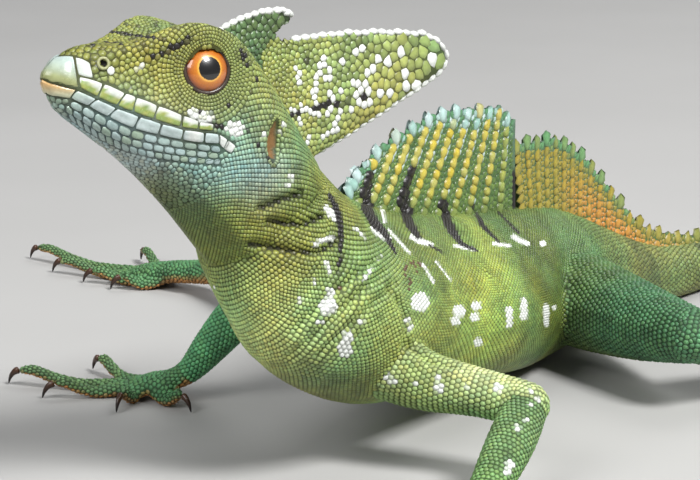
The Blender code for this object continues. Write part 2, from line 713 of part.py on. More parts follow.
# Each toe: its length, its way out from the foot's own line in degrees, and its root's place from
# the ankle (0) to the front of the sole (1).
TOES = {
    "hand_left": [(13, 52, 0.0), (19, 24, 0.1), (26, 4, 0.2), (27, -18, 0.3), (19, -50, 0.4)],
    "hand_right": [(9.5, 156, -0.2), (9, 87, 0.7), (19, 24, 1.0), (30, 4, 1.0), (21, -33, 0.7)],
    "foot_left": [(11, 42, 0.3), (19, 25, 0.5), (30, 11, 0.75), (43, -3, 1.0), (27, -34, 0.3)],
    "foot_right": [(11, 36, 0.3), (19, 22, 0.5), (30, 10, 0.75), (43, -2, 1.0), (27, -32, 0.3)],
}
SOLES = {
    "hand_left": {"limb": "arm_left", "length": 10, "width": 10.5, "thick": 5.0, "heading": (0.12, -1),
                  "first_toe_side": -1},
    "hand_right": {"limb": "arm_right", "length": 9, "width": 10, "thick": 5.0, "heading": (-1, -0.2),
                   "first_toe_side": 1},
    "foot_left": {"limb": "leg_left", "length": 22, "width": 10.5, "thick": 6.4, "heading": (0.93, -0.38),
                  "first_toe_side": -1},
    "foot_right": {"limb": "leg_right", "length": 21, "width": 10.5, "thick": 6.4, "heading": (-1, 0.07),
                   "first_toe_side": 1},
}
CLAW_LENGTH = 5.0
TOE_THICK = 3.3
TOE_SIDES = 6


def toe_line(start, direction, length):
    """The middle line of a toe that lies on the floor and arches up at its last knuckle."""
    ahead = unit(np.array([*direction, 0.0])) * length
    heights = [(0, 3.0), (0.3, 1.8), (0.6, 1.45), (0.85, 4.0), (1, 3.9)]
    return [start * (1, 1, 0) + ahead * share + (0, 0, height) for share, height in heights]


def sole(name, finish):
    """A hand or foot with its five toes in one solid, and where the claws in front of them go."""
    spec = SOLES[name]
    limb = LIMBS[spec["limb"]]
    heading = unit(np.array([*spec["heading"], 0.0]))
    joint = np.array(limb["lower"][4], float)
    pace = np.linalg.norm(joint - np.array(limb["lower"][3], float))
    far = joint + heading * spec["length"]
    far[2] = spec["thick"] * 0.5 - 0.2
    middle = joint + heading * spec["length"] * 0.45
    middle[2] = max(spec["thick"] * 0.55, joint[2] * 0.8)
    line = limb["lower"] + [tuple(middle), tuple(far), tuple(far + heading * 3.0)]
    widths = limb["lower_width"] + [spec["width"] * share for share in (0.95, 1, 0.6)]
    heights = limb["lower_height"] + [spec["thick"] * share for share in (1, 0.85, 0.5)]
    palm = limb_rings(line, widths, heights, 3 + 1.3 * GAP / pace, 7, 0.5, LIMB_SIDES)
    made = mesh_object(name, *tube_of(palm), finish)
    side = spec["first_toe_side"]
    across = np.cross(np.array([0, 0, 1.0]), heading) * side
    toes, claws = [], []
    for number, (length, spread, place) in enumerate(TOES[name]):
        turn = math.radians(spread) * side
        way = np.array([heading[0] * math.cos(turn) - heading[1] * math.sin(turn),
                        heading[0] * math.sin(turn) + heading[1] * math.cos(turn)])
        offset = (2 - number) / 4 * spec["width"] * 0.62
        start = joint + heading * spec["length"] * (0.45 + 0.5 * place) + across * offset
        line = toe_line(start, way, length)
        tube = tube_of(limb_rings(line, [TOE_THICK * share for share in (1.15, 1.1, 1, 0.95, 0.7)],
                                  [TOE_THICK * share for share in (1.1, 1.05, 1, 1, 0.75)], 0, 4, 0.8,
                                  TOE_SIDES))
        toes.append(mesh_object("toe", *tube))
        claws.append((line[-1], unit(line[-1] - line[-2]), way))
    boolean(made, toes, "UNION")
    stand_on_floor(made)
    return claws


def claw(name, base, ahead, way, finish):
    """A hooked claw whose root faces its toe and whose tip comes down to the floor."""
    start = base + ahead * 1.2 * GAP
    forward = unit(np.array([*way, 0.0])) * CLAW_LENGTH
    drop = start[2] - 0.15
    shape = [(0, 0), (0.26, 0.16), (0.46, 0.52), (0.56, 0.95)]
    line = [start + forward * reach - (0, 0, drop * fall) for reach, fall in shape]
    rings = limb_rings(line, [1.9, 1.6, 1.0, 0.35], [2.3, 1.9, 1.1, 0.35], 0, 3, 0.75, 5)
    made = mesh_object(name, *tube_of(rings), finish)
    stand_on_floor(made)


def place_on_origin():
    made = list(bpy.context.scene.objects)
    corners = np.array([v.co for one in made for v in one.data.vertices])
    low, high = corners.min(axis=0), corners.max(axis=0)
    shift = -np.array([(low[0] + high[0]) / 2, (low[1] + high[1]) / 2, low[2]])
    for one in made:
        for vertex in one.data.vertices:
            vertex.co = np.array(vertex.co) + shift


def build():
    for old in list(bpy.data.objects):
        bpy.data.objects.remove(old)
    skin = material("body_green", GREEN, 0.55)
    limb_skin = material("limb_green", LIMB_GREEN, 0.55)
    tail_skin = material("tail_green", TAIL_GREEN, 0.55)
    crest_skin = material("crest_yellow", CREST_YELLOW, 0.5)
    casque_skin = material("casque_green", CASQUE_GREEN, 0.5)
    horn = material("claw_brown", CLAW_BROWN, 0.3)
    glass = material("eye_orange", EYE_ORANGE, 0.08)
    head(skin)
    eye("eye_left", 1, glass)
    eye("eye_right", -1, glass)
    head_fin("head_crest_front", FRONT_FIN_ROOT, FRONT_FIN_EDGE, FRONT_FIN_THICK, FRONT_TEETH, casque_skin)
    head_fin("head_crest_rear", CASQUE_ROOT, CASQUE_EDGE, CASQUE_THICK, CASQUE_TEETH, casque_skin)
    trunk_part("neck", 0, NECK_END, 0.25, TRUNK_SIDES, skin)
    trunk_part("torso", NECK_END, TORSO_END, TRUNK_STEP, TRUNK_SIDES, skin)
    for name, start, end in TAIL_CUTS:
        trunk_part(name, start, end, TAIL_STEP, TAIL_SIDES if start < 15 else THIN_TAIL_SIDES, tail_skin)
    dorsal_crest(crest_skin)
    tail_crest(crest_skin)
    for side in ("left", "right"):
        limb_parts("arm_" + side, "upper_arm_" + side, "forearm_" + side, limb_skin)
        limb_parts("leg_" + side, "thigh_" + side, "shin_" + side, limb_skin)
        for kind in ("hand", "foot"):
            claws = sole(kind + "_" + side, limb_skin)
            for number, (base, ahead, way) in enumerate(claws):
                claw(kind + "_claw_" + side + "_" + str(number + 1), base, ahead, way, horn)
    place_on_origin()


build()
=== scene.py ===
# %% [markdown]
# This lesson dresses the plain solids of a green basilisk as a life-size museum model. The solids
# already have the size, the pose and the outline. Here they get one skin without seams, more than
# forty thousand scales of solid mesh, rayed crests, wet eyes and horn claws.
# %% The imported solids
import math

import bmesh
import bpy
import numpy as np
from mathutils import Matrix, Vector, noise
from mathutils.bvhtree import BVHTree
from mathutils.kdtree import KDTree


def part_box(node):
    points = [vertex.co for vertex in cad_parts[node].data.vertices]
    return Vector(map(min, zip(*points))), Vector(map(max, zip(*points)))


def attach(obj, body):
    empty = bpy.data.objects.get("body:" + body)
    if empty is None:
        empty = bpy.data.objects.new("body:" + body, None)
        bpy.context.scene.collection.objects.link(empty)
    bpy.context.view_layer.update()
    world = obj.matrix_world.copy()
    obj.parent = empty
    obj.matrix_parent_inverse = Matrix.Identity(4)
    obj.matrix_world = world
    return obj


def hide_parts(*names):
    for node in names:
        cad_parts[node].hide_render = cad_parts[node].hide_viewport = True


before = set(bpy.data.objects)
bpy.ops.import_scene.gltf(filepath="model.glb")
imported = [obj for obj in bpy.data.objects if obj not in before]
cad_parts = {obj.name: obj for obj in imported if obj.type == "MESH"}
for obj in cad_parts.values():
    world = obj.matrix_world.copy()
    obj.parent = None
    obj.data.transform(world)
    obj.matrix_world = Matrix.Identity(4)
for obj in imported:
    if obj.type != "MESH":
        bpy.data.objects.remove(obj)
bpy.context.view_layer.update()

# %% [markdown]
# Everything below is measured in millimetres in the animal's own working frame: it faces -Y, its
# left is +X, the floor is z = 0, and x = y = 0 lies under the shoulders. The head has axes of its
# own, from the tip of the snout: backward, to its left, and up. One known point, the middle of the
# left eye, tells how far that frame lies from the model's.
# %% The working frame
MM = 0.001
SNOUT_TIP = np.array([-20.6, -78.2, 92.3])
HEAD_TURN, HEAD_RAISE, HEAD_ROLL = 15.3, 19.9, 1.0
EYE_PLACE = (32.3, 5.9, 9.9)


def unit(vectors):
    return vectors / np.linalg.norm(vectors, axis=-1, keepdims=True)


def length(vectors):
    return np.linalg.norm(vectors, axis=-1)


def head_axes():
    turn, rise, roll = (math.radians(a) for a in (HEAD_TURN, HEAD_RAISE, HEAD_ROLL))
    level_forward = np.array([-math.sin(turn), -math.cos(turn), 0.0])
    level_left = np.array([math.cos(turn), -math.sin(turn), 0.0])
    straight_up = np.array([0.0, 0.0, 1.0])
    forward = level_forward * math.cos(rise) + straight_up * math.sin(rise)
    up = straight_up * math.cos(rise) - level_forward * math.sin(rise)
    left = level_left * math.cos(roll) + up * math.sin(roll)
    return -forward, left, up * math.cos(roll) - level_left * math.sin(roll)


BACKWARD, LEFTWARD, UPWARD = head_axes()
HEAD_FRAME = np.array([BACKWARD, LEFTWARD, UPWARD])


def in_head(back, left, up):
    return SNOUT_TIP + np.array([back, left, up], float) @ HEAD_FRAME


def head_place(points):
    """How far back, to the left and up from the snout tip the points lie."""
    return (points - SNOUT_TIP) @ HEAD_FRAME.T


eye_low, eye_high = (np.array(corner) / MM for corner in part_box("eye_left"))
SHIFT = (eye_low + eye_high) / 2 - in_head(*EYE_PLACE)


def to_world(points):
    return (np.asarray(points) + SHIFT) * MM


def to_working(points):
    return np.asarray(points) / MM - SHIFT


print("the working frame's origin is at", to_world(np.zeros(3)).round(4))

# %% [markdown]
# The camera stands where the photographer's did: 30 degrees to the left of the animal's nose and a
# little above it, with a long lens. Its own numbers also tell what a place in the picture looks
# at, which is how spots and plates are put on the skin later.
# %% The camera
CAMERA_AZIMUTH, CAMERA_ELEVATION, CAMERA_DISTANCE = 30.0, 13.5, 510.0
CAMERA_TARGET = np.array([0.0, 0.0, 48.0])
PICTURE_WIDTH, PICTURE_HEIGHT = 700, 480
FOCAL_PIXELS = 2400.0
SENSOR_WIDTH = 36.0


def camera_axes():
    azimuth, elevation = math.radians(CAMERA_AZIMUTH), math.radians(CAMERA_ELEVATION)
    back = np.array([math.sin(azimuth) * math.cos(elevation), -math.cos(azimuth) * math.cos(elevation),
                     math.sin(elevation)])
    right = np.array([math.cos(azimuth), math.sin(azimuth), 0.0])
    return right, np.cross(back, right), back


VIEW_RIGHT, VIEW_UP, VIEW_BACK = camera_axes()
CAMERA_PLACE = CAMERA_TARGET + VIEW_BACK * CAMERA_DISTANCE


def sight_line(x, y):
    """The way from the camera through a pixel of the picture."""
    across, upward = x - PICTURE_WIDTH / 2, PICTURE_HEIGHT / 2 - y
    return unit(VIEW_RIGHT * across / FOCAL_PIXELS + VIEW_UP * upward / FOCAL_PIXELS - VIEW_BACK)


def picture_of(points):
    """Where in the picture the camera sees each point, in pixels."""
    gap = points - CAMERA_PLACE
    depth = -(gap @ VIEW_BACK)
    across = PICTURE_WIDTH / 2 + FOCAL_PIXELS * (gap @ VIEW_RIGHT) / depth
    return np.stack([across, PICTURE_HEIGHT / 2 - FOCAL_PIXELS * (gap @ VIEW_UP) / depth], axis=1)


bpy.ops.object.camera_add(location=to_world(CAMERA_PLACE),
                          rotation=Vector(VIEW_BACK).to_track_quat("Z", "Y").to_euler())
camera = bpy.context.object
camera.name = "camera"
camera.data.sensor_width = SENSOR_WIDTH
camera.data.lens = FOCAL_PIXELS / PICTURE_WIDTH * SENSOR_WIDTH
camera.data.clip_start = 0.02
bpy.context.scene.camera = camera
print("lens", round(camera.data.lens, 1), "mm")

# %% [markdown]
# A finish is a small network of nodes. These helpers add a node and wire it, so that each material
# below reads as a list of what it is made of.
# %% Helpers for materials


def new_material(name):
    made = bpy.data.materials.new(name)
    made.use_nodes = True
    return made, made.node_tree.nodes["Principled BSDF"]


def set_up(node, **settings):
    """Sets a node's sockets and properties, and wires a socket where another node's is given.

    A space in a socket's name is written _, and a socket that shares its name is input_0 and so on."""
    for key, value in settings.items():
        name = key.replace("_", " ")
        if key.startswith("input_"):
            socket = node.inputs[int(key[6:])]
        elif name in node.inputs:
            socket = node.inputs[name]
        else:
            setattr(node, key, value)
            continue
        if isinstance(value, bpy.types.NodeSocket):
            node.id_data.links.new(value, socket)
        else:
            socket.default_value = value
    return node


def add_node(shader, kind, **settings):
    return set_up(shader.id_data.nodes.new(kind), **settings)


def add_noise(shader, place, scale, detail):
    return add_node(shader, "ShaderNodeTexNoise", Vector=place, Scale=scale, Detail=detail).outputs["Fac"]


def add_math(shader, operation, *values):
    values = {f"input_{number}": value for number, value in enumerate(values)}
    return add_node(shader, "ShaderNodeMath", operation=operation, **values).outputs["Value"]


def add_ramp(shader, source, *stops):
    """A band of colours, each given with its place from 0 to 1, that a number picks from."""
    ramp = add_node(shader, "ShaderNodeValToRGB", Fac=source)
    elements = ramp.color_ramp.elements
    while len(elements) < len(stops):
        elements.new(0.5)
    for element, (place, colour) in zip(elements, stops):
        element.position = place
        element.color = (*colour, 1)
    return ramp.outputs["Color"]


# %% [markdown]
# The floor is plain and pale, and the light is soft: a box of light high on the camera's right,
# which also draws the highlight in the eye, a weaker one on its left and a rim of light behind.
# %% The floor and the light
FLOOR_SIZE = 8.0
bpy.context.scene.view_settings.view_transform = "Standard"
floor_material, shader = new_material("pale_floor")
place = add_node(shader, "ShaderNodeTexCoord").outputs["Object"]
grain = add_noise(shader, place, 9.0, 3.0)
shade = add_ramp(shader, grain, (0, (0.36, 0.355, 0.345)), (1, (0.41, 0.405, 0.395)))
set_up(shader, Base_Color=shade, Roughness=0.85)
bpy.ops.mesh.primitive_plane_add(size=FLOOR_SIZE, location=(0, 0, 0))
floor = bpy.context.object
floor.name = "floor"
floor.data.materials.append(floor_material)


def add_softbox(name, azimuth, elevation, distance, size, power):
    """A square light that looks at the animal's shoulders, placed as the camera is."""
    turn, rise = math.radians(azimuth), math.radians(elevation)
    way = Vector((math.sin(turn) * math.cos(rise), -math.cos(turn) * math.cos(rise), math.sin(rise)))
    place = Vector(to_world(CAMERA_TARGET)) + way * distance
    bpy.ops.object.light_add(type="AREA", location=place,
                             rotation=way.to_track_quat("Z", "Y").to_euler())
    light = bpy.context.object
    light.name = name
    light.data.size = size
    light.data.energy = power


# Azimuth, elevation, distance and size in metres, and power of each light.
SOFTBOXES = {"key_light": (78, 50, 1.5, 0.42, 34.0), "fill_light": (-10, 35, 1.8, 0.9, 18.0),
             "rim_light": (175, 50, 1.8, 0.9, 9.0)}
for name, settings in SOFTBOXES.items():
    add_softbox(name, *settings)
world = bpy.data.worlds.new("studio")
world.use_nodes = True
set_up(world.node_tree.nodes["Background"], Color=(0.92, 0.95, 1.0, 1), Strength=0.28)
bpy.context.scene.world = world
print(len(SOFTBOXES), "soft lights")

# %% [markdown]
# The solids of head, neck, trunk, tail and legs stand a third of a millimetre apart. Real skin has
# no such seams. Copies of them are swollen until they meet, joined, and wrapped in one fine voxel
# surface, which is then smoothed and drawn in again to lie just under the scales' tops.
# %% One skin
LIMB_PIECES = ("upper_arm", "forearm", "hand", "thigh", "shin", "foot")
TRUNK_NODES = ["neck", "torso", "tail_base", "tail_front", "tail_middle", "tail_rear"]
FIN_NODES = ["head_crest_front", "head_crest_rear"]
LIMB_NODES = [piece + "_" + side for side in ("left", "right") for piece in LIMB_PIECES]
FLESH = ["head"] + TRUNK_NODES + FIN_NODES + LIMB_NODES
SWELL = 0.30
VOXEL = 0.8
SCALE_DEPTH = 0.15


def select_only(*objects):
    bpy.ops.object.select_all(action="DESELECT")
    for one in objects:
        one.select_set(True)
    bpy.context.view_layer.objects.active = objects[0]


def copy_of_nodes(names, name):
    """One new object from copies of CAD nodes, each with its loose triangles merged."""
    copies = []
    for node in names:
        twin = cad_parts[node].copy()
        twin.data = twin.data.copy()
        twin.parent = None
        for key in list(twin.keys()):
            del twin[key]
        twin.data.materials.clear()
        bpy.context.scene.collection.objects.link(twin)
        copies.append(twin)
    select_only(*copies)
    bpy.ops.object.join()
    joined = bpy.context.object
    joined.name = name
    joined.data.name = name
    bpy.ops.object.mode_set(mode="EDIT")
    bpy.ops.mesh.select_all(action="SELECT")
    bpy.ops.mesh.remove_doubles(threshold=0.01 * MM)
    bpy.ops.mesh.customdata_custom_splitnormals_clear()
    bpy.ops.object.mode_set(mode="OBJECT")
    return joined


def apply_modifier(target, kind, **settings):
    select_only(target)
    change = target.modifiers.new(kind.lower(), kind)
    for key, value in settings.items():
        setattr(change, key, value)
    bpy.ops.object.modifier_apply(modifier=change.name)


skin = copy_of_nodes(FLESH, "skin")
apply_modifier(skin, "DISPLACE", strength=SWELL * MM, mid_level=0.0, direction="NORMAL")
apply_modifier(skin, "REMESH", mode="VOXEL", voxel_size=VOXEL * MM)
bpy.ops.object.mode_set(mode="EDIT")
bpy.ops.mesh.separate(type="LOOSE")
bpy.ops.object.mode_set(mode="OBJECT")
shells = sorted(bpy.context.selected_objects, key=lambda one: len(one.data.vertices))
for shell in shells[:-1]:
    bpy.data.objects.remove(shell)
skin = shells[-1]
skin.name = "skin"
apply_modifier(skin, "SMOOTH", factor=0.5, iterations=3)
apply_modifier(skin, "DISPLACE", strength=-(SWELL + SCALE_DEPTH) * MM, mid_level=0.0, direction="NORMAL")
print("skin:", len(skin.data.vertices), "points, from", len(shells), "shells")

# %% [markdown]
# Numbers for every point of a mesh are read and written at once, as arrays. That makes it quick to
# smooth a place, to press a fold in, or to find the skin nearest to a point.
# %% Helpers for points


def read(items, key, size=3, kind=float):
    """One property of all the points, corners or triangles of a mesh, as rows of numbers."""
    flat = np.empty(len(items) * size, kind)
    items.foreach_get(key, flat)
    return flat.reshape(-1, size)


def points_of(target):
    return to_working(read(target.data.vertices, "co"))


def move_points(target, points):
    target.data.vertices.foreach_set("co", to_world(points).ravel())
    target.data.update()


def normals_of(target):
    return read(target.data.vertices, "normal")


def triangles_of(target):
    target.data.calc_loop_triangles()
    return read(target.data.loop_triangles, "vertices", 3, int)


def tree_of(target):
    return BVHTree.FromPolygons(points_of(target).tolist(), triangles_of(target).tolist())


def looked_at(tree, x, y):
    """The place on a surface that the camera sees at a pixel of the picture, or None."""
    hit = tree.ray_cast(Vector(CAMERA_PLACE), Vector(sight_line(x, y)))
    return None if hit[0] is None else np.array(hit[0])


def seen_at(tree, pixels):
    """The places seen at some pixels, without those that look past the surface."""
    found = [looked_at(tree, *pixel) for pixel in pixels]
    return np.array([place for place in found if place is not None]).reshape(-1, 3)


def travel_along(path):
    """How far along a line each of its points is."""
    return np.concatenate([[0], np.cumsum(length(np.diff(path, axis=0)))])


def grid_of(first, second):
    """All pairs of two rows of numbers, as two flat arrays."""
    return (one.ravel() for one in np.meshgrid(first, second, indexing="ij"))


skin_tree = tree_of(skin)
picture_middle = (PICTURE_WIDTH / 2, PICTURE_HEIGHT / 2)
print("the picture's middle looks at", seen_at(skin_tree, [picture_middle]).round(1))

# %% [markdown]
# Skin creases where the neck turns and the shoulder works. Each fold is followed in the picture
# and laid on the skin, and the same fold is pressed in on the other side. A groove with a soft
# swelling beside it reads as a fold in the hide, which a bump texture would not on the outline.
# %% Folds in the skin
FOLDS_IN_PICTURE = [
    [(259, 208), (281, 200), (299, 195)], [(268, 221.5), (288, 224), (303.7, 225), (321.5, 217)],
    [(250, 244), (274.6, 248), (297, 252), (319, 252), (335, 241.6)],
    [(382, 273), (355, 297), (330, 320), (304, 344), (290, 355)],
    [(372, 262), (344, 284), (318, 306), (294, 330)], [(394, 284), (368, 308), (342, 332), (318, 354)],
    [(386, 286), (402, 309), (406, 331), (400, 346)], [(404, 344), (431, 362), (453, 367)]]
FOLD_DEPTH, FOLD_WIDTH, FOLD_BULGE = 0.55, 0.75, 0.25
NECK_FOLDS = 3
NECK_FOLD_DEPTH = 1.15
MOUTH_IN_PICTURE = [
    (47, 79.5), (55, 80.5), (79, 88.8), (97.6, 98), (116, 106.6), (134, 112.6), (154, 120), (181, 128),
    (198, 130), (213, 131.5), (222, 135), (232, 141)]
MOUTH_FILL, MOUTH_WIDTH = 0.5, 0.8
NOSTRIL_IN_PICTURE = (103, 63.5)
NOSTRIL_WIDE, NOSTRIL_DEEP = 0.5, 0.9
TRACE_STEP = 2.0
FAR = 12


def trace(tree, pixels):
    """Close-set places on a surface along a line drawn through pixels of the picture."""
    pixels = np.array(pixels, float)
    close = []
    for start, end in zip(pixels[:-1], pixels[1:]):
        count = max(1, int(np.linalg.norm(end - start) / TRACE_STEP))
        close += [start + (end - start) * k / count for k in range(count)]
    return seen_at(tree, close + [pixels[-1]])


def across_body(points):
    """The same places on the other flank."""
    return points * (-1, 1, 1)


def across_head(points):
    """The same places on the other side of the head."""
    placed = head_place(points) * (1, -1, 1)
    return SNOUT_TIP + placed @ HEAD_FRAME


def both_sides(points, head=False):
    """Places and their twins on the other side of the body or of the head."""
    return np.concatenate([points, across_head(points) if head else across_body(points)])


def distance_to(points, cloud):
    """How far each point is from the nearest of a few places."""
    nearest = np.full(len(points), np.inf)
    low, high = cloud.min(axis=0) - FAR, cloud.max(axis=0) + FAR
    near = np.flatnonzero(((points > low) & (points < high)).all(axis=1))
    if len(near):
        gaps = points[near][:, None, :] - cloud[None, :, :]
        nearest[near] = np.sqrt((gaps ** 2).sum(axis=2)).min(axis=1)
    return nearest


def press_fold(points, ways, cloud, depth, width, bulge):
    far = distance_to(points, cloud)
    groove = -depth * np.exp(-(far / width) ** 2)
    swelling = bulge * np.exp(-((far - 2.6 * width) / (1.3 * width)) ** 2)
    return points + ways * np.where(np.isfinite(far), groove + swelling, 0.0)[:, None]


skin_points, skin_ways = points_of(skin), normals_of(skin)
for number, fold in enumerate(FOLDS_IN_PICTURE):
    cloud = trace(skin_tree, fold)
    twin = across_head(cloud) if number < NECK_FOLDS else across_body(cloud)
    depth = NECK_FOLD_DEPTH if number < NECK_FOLDS else FOLD_DEPTH
    for one in (cloud, twin):
        skin_points = press_fold(skin_points, skin_ways, one, depth, FOLD_WIDTH, FOLD_BULGE)
nostril = looked_at(skin_tree, *NOSTRIL_IN_PICTURE)[None]
nostrils = both_sides(nostril, True)
skin_points = press_fold(skin_points, skin_ways, nostrils, NOSTRIL_DEEP, NOSTRIL_WIDE, 0.0)
mouth = trace(skin_tree, MOUTH_IN_PICTURE)
for one in (mouth, across_head(mouth)):
    skin_points = press_fold(skin_points, skin_ways, one, -MOUTH_FILL, MOUTH_WIDTH, 0.0)
skin_points[:, 2] = np.maximum(skin_points[:, 2], 0)
move_points(skin, skin_points)
skin_tree = tree_of(skin)
print(len(FOLDS_IN_PICTURE), "folds on each side")

# %% [markdown]
# The crests stand on the back as thin blades of skin on bony rays. A blade is laid between a root
# line sunk in the back and a scalloped edge line. Each ray thickens it, so it is corrugated like a
# fan. The same functions later say where each scale of the crest sits.
# %% Lines of the back and the tail
TAIL_START, TAIL_LENGTH, TAIL_SWEEP = 114.0, 455.0, 13.0
TAIL_HEIGHT_KEYS = [
    (0, 31), (18, 22.6), (36, 16.2), (60, 13.2), (90, 11.6), (200, 8.8), (330, 5.4), (430, 2.6), (455, 1.3)]
TAIL_WIDTH_KEYS = [(0, 23), (18, 19.5), (40, 16), (90, 11.5), (200, 8), (330, 5), (430, 2.6), (455, 1.4)]
TAIL_DISTANCES = (0, 18, 40, 65, 95, 130, 170, 215, 260, 305, 350, 395, 430, 455)
# Top, bottom and half width of the body's sections from the nape to the root of the tail.
BODY_SECTIONS = [
    (in_head(70, 0, 0), in_head(52, 0, -26.5), 12.6), ((-2, -10.5, 64), (-5.5, -36, 38.5), 13.4),
    ((0, -6.5, 59.7), (-1, -28.5, 26.5), 14.9), ((0, 3.5, 55.6), (0, -12.5, 16.5), 16.9),
    ((0, 18, 51), (0, 3, 11), 17.2), ((0, 32, 47.8), (0, 24, 8.5), 17.6), ((0, 50, 44.2), (0, 48, 5), 19.1),
    ((0, 70, 41.3), (0, 70, 1), 16.2), ((0, 88, 38.3), (0, 88, 0), 13), ((0, 101, 35.5), (0, 102, 0), 12.6)]


def tail_course():
    """The tail's middle line on the floor: a long lazy S, as (x, y) and heading every few mm."""
    step = 5.0
    x, y = 0.0, TAIL_START
    course = [(x, y, 0.0)]
    for i in range(int(TAIL_LENGTH / step)):
        share = (i + 0.5) * step / TAIL_LENGTH
        heading = math.radians(TAIL_SWEEP) * math.sin(2 * math.pi * min(share * 1.25 + 0.07, 1.2))
        x += step * math.sin(heading)
        y += step * math.cos(heading)
        course.append((x, y, heading))
    return np.array(course), step


def keyed(keys, values):
    """A value read off straight lines between keys."""
    xs, ys = np.array(keys, float).T
    return np.interp(values, xs, ys)


def body_rows():
    """Top, bottom and half width of all sections, from the nape to the tail's tip."""
    rows = [np.array([*top, *bottom, half], float) for top, bottom, half in BODY_SECTIONS]
    course, step = tail_course()
    for distance in TAIL_DISTANCES:
        x, y, _ = course[int(round(distance / step))]
        height, half = keyed(TAIL_HEIGHT_KEYS, distance), keyed(TAIL_WIDTH_KEYS, distance) / 2
        rows.append(np.array([x, y, height, x, y, 0.0, half]))
    return np.array(rows)


def along(rows, places):
    """Catmull-Rom through the rows of a table, at places from 0 to the last row's number."""
    rows = np.asarray(rows, float)
    last = len(rows) - 1
    places = np.atleast_1d(np.asarray(places, float))
    i = np.clip(np.floor(places).astype(int), 0, last - 1)
    u = (places - i)[:, None]
    padded = np.vstack([2 * rows[0] - rows[1], rows, 2 * rows[last] - rows[last - 1]])
    before, a, b, after = padded[i], padded[i + 1], padded[i + 2], padded[i + 3]
    return 0.5 * (2 * a + (b - before) * u + (2 * before - 5 * a + 4 * b - after) * u ** 2
                  + (3 * a - before - 3 * b + after) * u ** 3)


BODY_ROWS = body_rows()
BACK_LINE = along(BODY_ROWS, np.arange(1.6, len(BODY_ROWS) - 1, 0.02))


def back_height(y):
    return np.interp(y, BACK_LINE[:, 1], BACK_LINE[:, 2])


def tail_side(y):
    """The tail's middle x and its side vector at a given y."""
    course, _ = tail_course()
    x = np.where(y <= TAIL_START, 0.0, np.interp(y, course[:, 1], course[:, 0]))
    heading = np.where(y <= TAIL_START, 0.0, np.interp(y, course[:, 1], course[:, 2]))
    return x, np.stack([np.cos(heading), -np.sin(heading), np.zeros_like(heading)], axis=-1)


print(len(BODY_ROWS), "sections from nape to tail tip")

# %% The crests' shapes
DORSAL_START, DORSAL_END, DORSAL_LEAN, LEADING_LEAN = -5.0, 77.0, 30.0, 9.0
DORSAL_TOP = [
    (-5, 59.8), (1.3, 60.8), (7.7, 64.0), (16.5, 66.6), (31, 68.4), (41.4, 69), (52, 67.8), (63, 66.2),
    (71, 65.4), (78.5, 60.5)]
TAIL_CREST_START, TAIL_CREST_END, TAIL_LEAN, SLIT_CLOSE = 81.5, 198.0, 12.0, 2.4
TAIL_CREST_TOP = [
    (79, 55.4), (89, 54.2), (100, 53), (108, 50.4), (116, 46.4), (122, 42.2), (129, 36.2), (137, 29.4),
    (142, 25.2), (148, 21.4), (157, 18.2), (170, 15.2), (198, 11.8)]
DORSAL_RAYS, TAIL_RAYS = 12, 25
CREST_SINK, RAY_RAISE, SCALLOP, TAIL_SCALLOP = 3.0, 0.75, 1.5, 1.7


def ray_phase(s, rays):
    """1 on a ray and 0 midway between two of them, with s from 0 to 1 along the crest."""
    return 0.5 + 0.5 * np.cos(2 * math.pi * rays * s)


def pointed(s, rays):
    """As ray_phase, but with narrow peaks and wide hollows, as the crest's teeth have."""
    return 1 - np.abs(np.mod(rays * s + 0.5, 1.0) - 0.5) * 2


def dorsal_lines(s):
    span = DORSAL_END - DORSAL_START
    low_y = DORSAL_START + span * s - DORSAL_LEAN * s * (1 - s)
    low = np.stack([0 * s, low_y, back_height(low_y) - CREST_SINK], axis=-1)
    high_y = DORSAL_START + LEADING_LEAN * (1 - s) + span * s + DORSAL_LEAN * s * (1 - s) + s
    tip = SCALLOP * np.minimum(1.0, 8 * s + 0.3) * (pointed(s, DORSAL_RAYS) - 0.6)
    high = np.stack([0 * s, high_y + tip * 0.5, keyed(DORSAL_TOP, high_y) + tip], axis=-1)
    side = np.zeros((len(s), 3)) + (1, 0, 0)
    return low, high, side


def tail_lines(s):
    reach = TAIL_CREST_END - TAIL_CREST_START
    low_y = TAIL_CREST_START + reach * s
    low_x, side = tail_side(low_y)
    low = np.stack([low_x, low_y, back_height(low_y) - CREST_SINK], axis=-1)
    high_y = low_y + TAIL_LEAN * s * (1 - s) - SLIT_CLOSE * (1 - s) ** 8
    high_x, _ = tail_side(high_y)
    tip = TAIL_SCALLOP * (1 - 0.7 * s) * (pointed(s, TAIL_RAYS) - 0.6)
    high = np.stack([high_x, high_y + tip * 0.4, keyed(TAIL_CREST_TOP, high_y) + tip], axis=-1)
    return low, high, side


def blade_half(s, v, rays):
    """Half the blade's thickness at s along it and v from root to edge."""
    plain = 2.2 - 1.75 * np.minimum(1.0, v * 1.2)
    return (plain + RAY_RAISE * ray_phase(s, rays) * (1 - 0.5 * v)) / 2


def blade_point(lines, rays, s, v, face):
    """Places on the left (1) or right (-1) face of a crest."""
    low, high, side = lines(s)
    v = v[:, None]
    return low * (1 - v) + high * v + side * face * blade_half(s, v[:, 0], rays)[:, None]


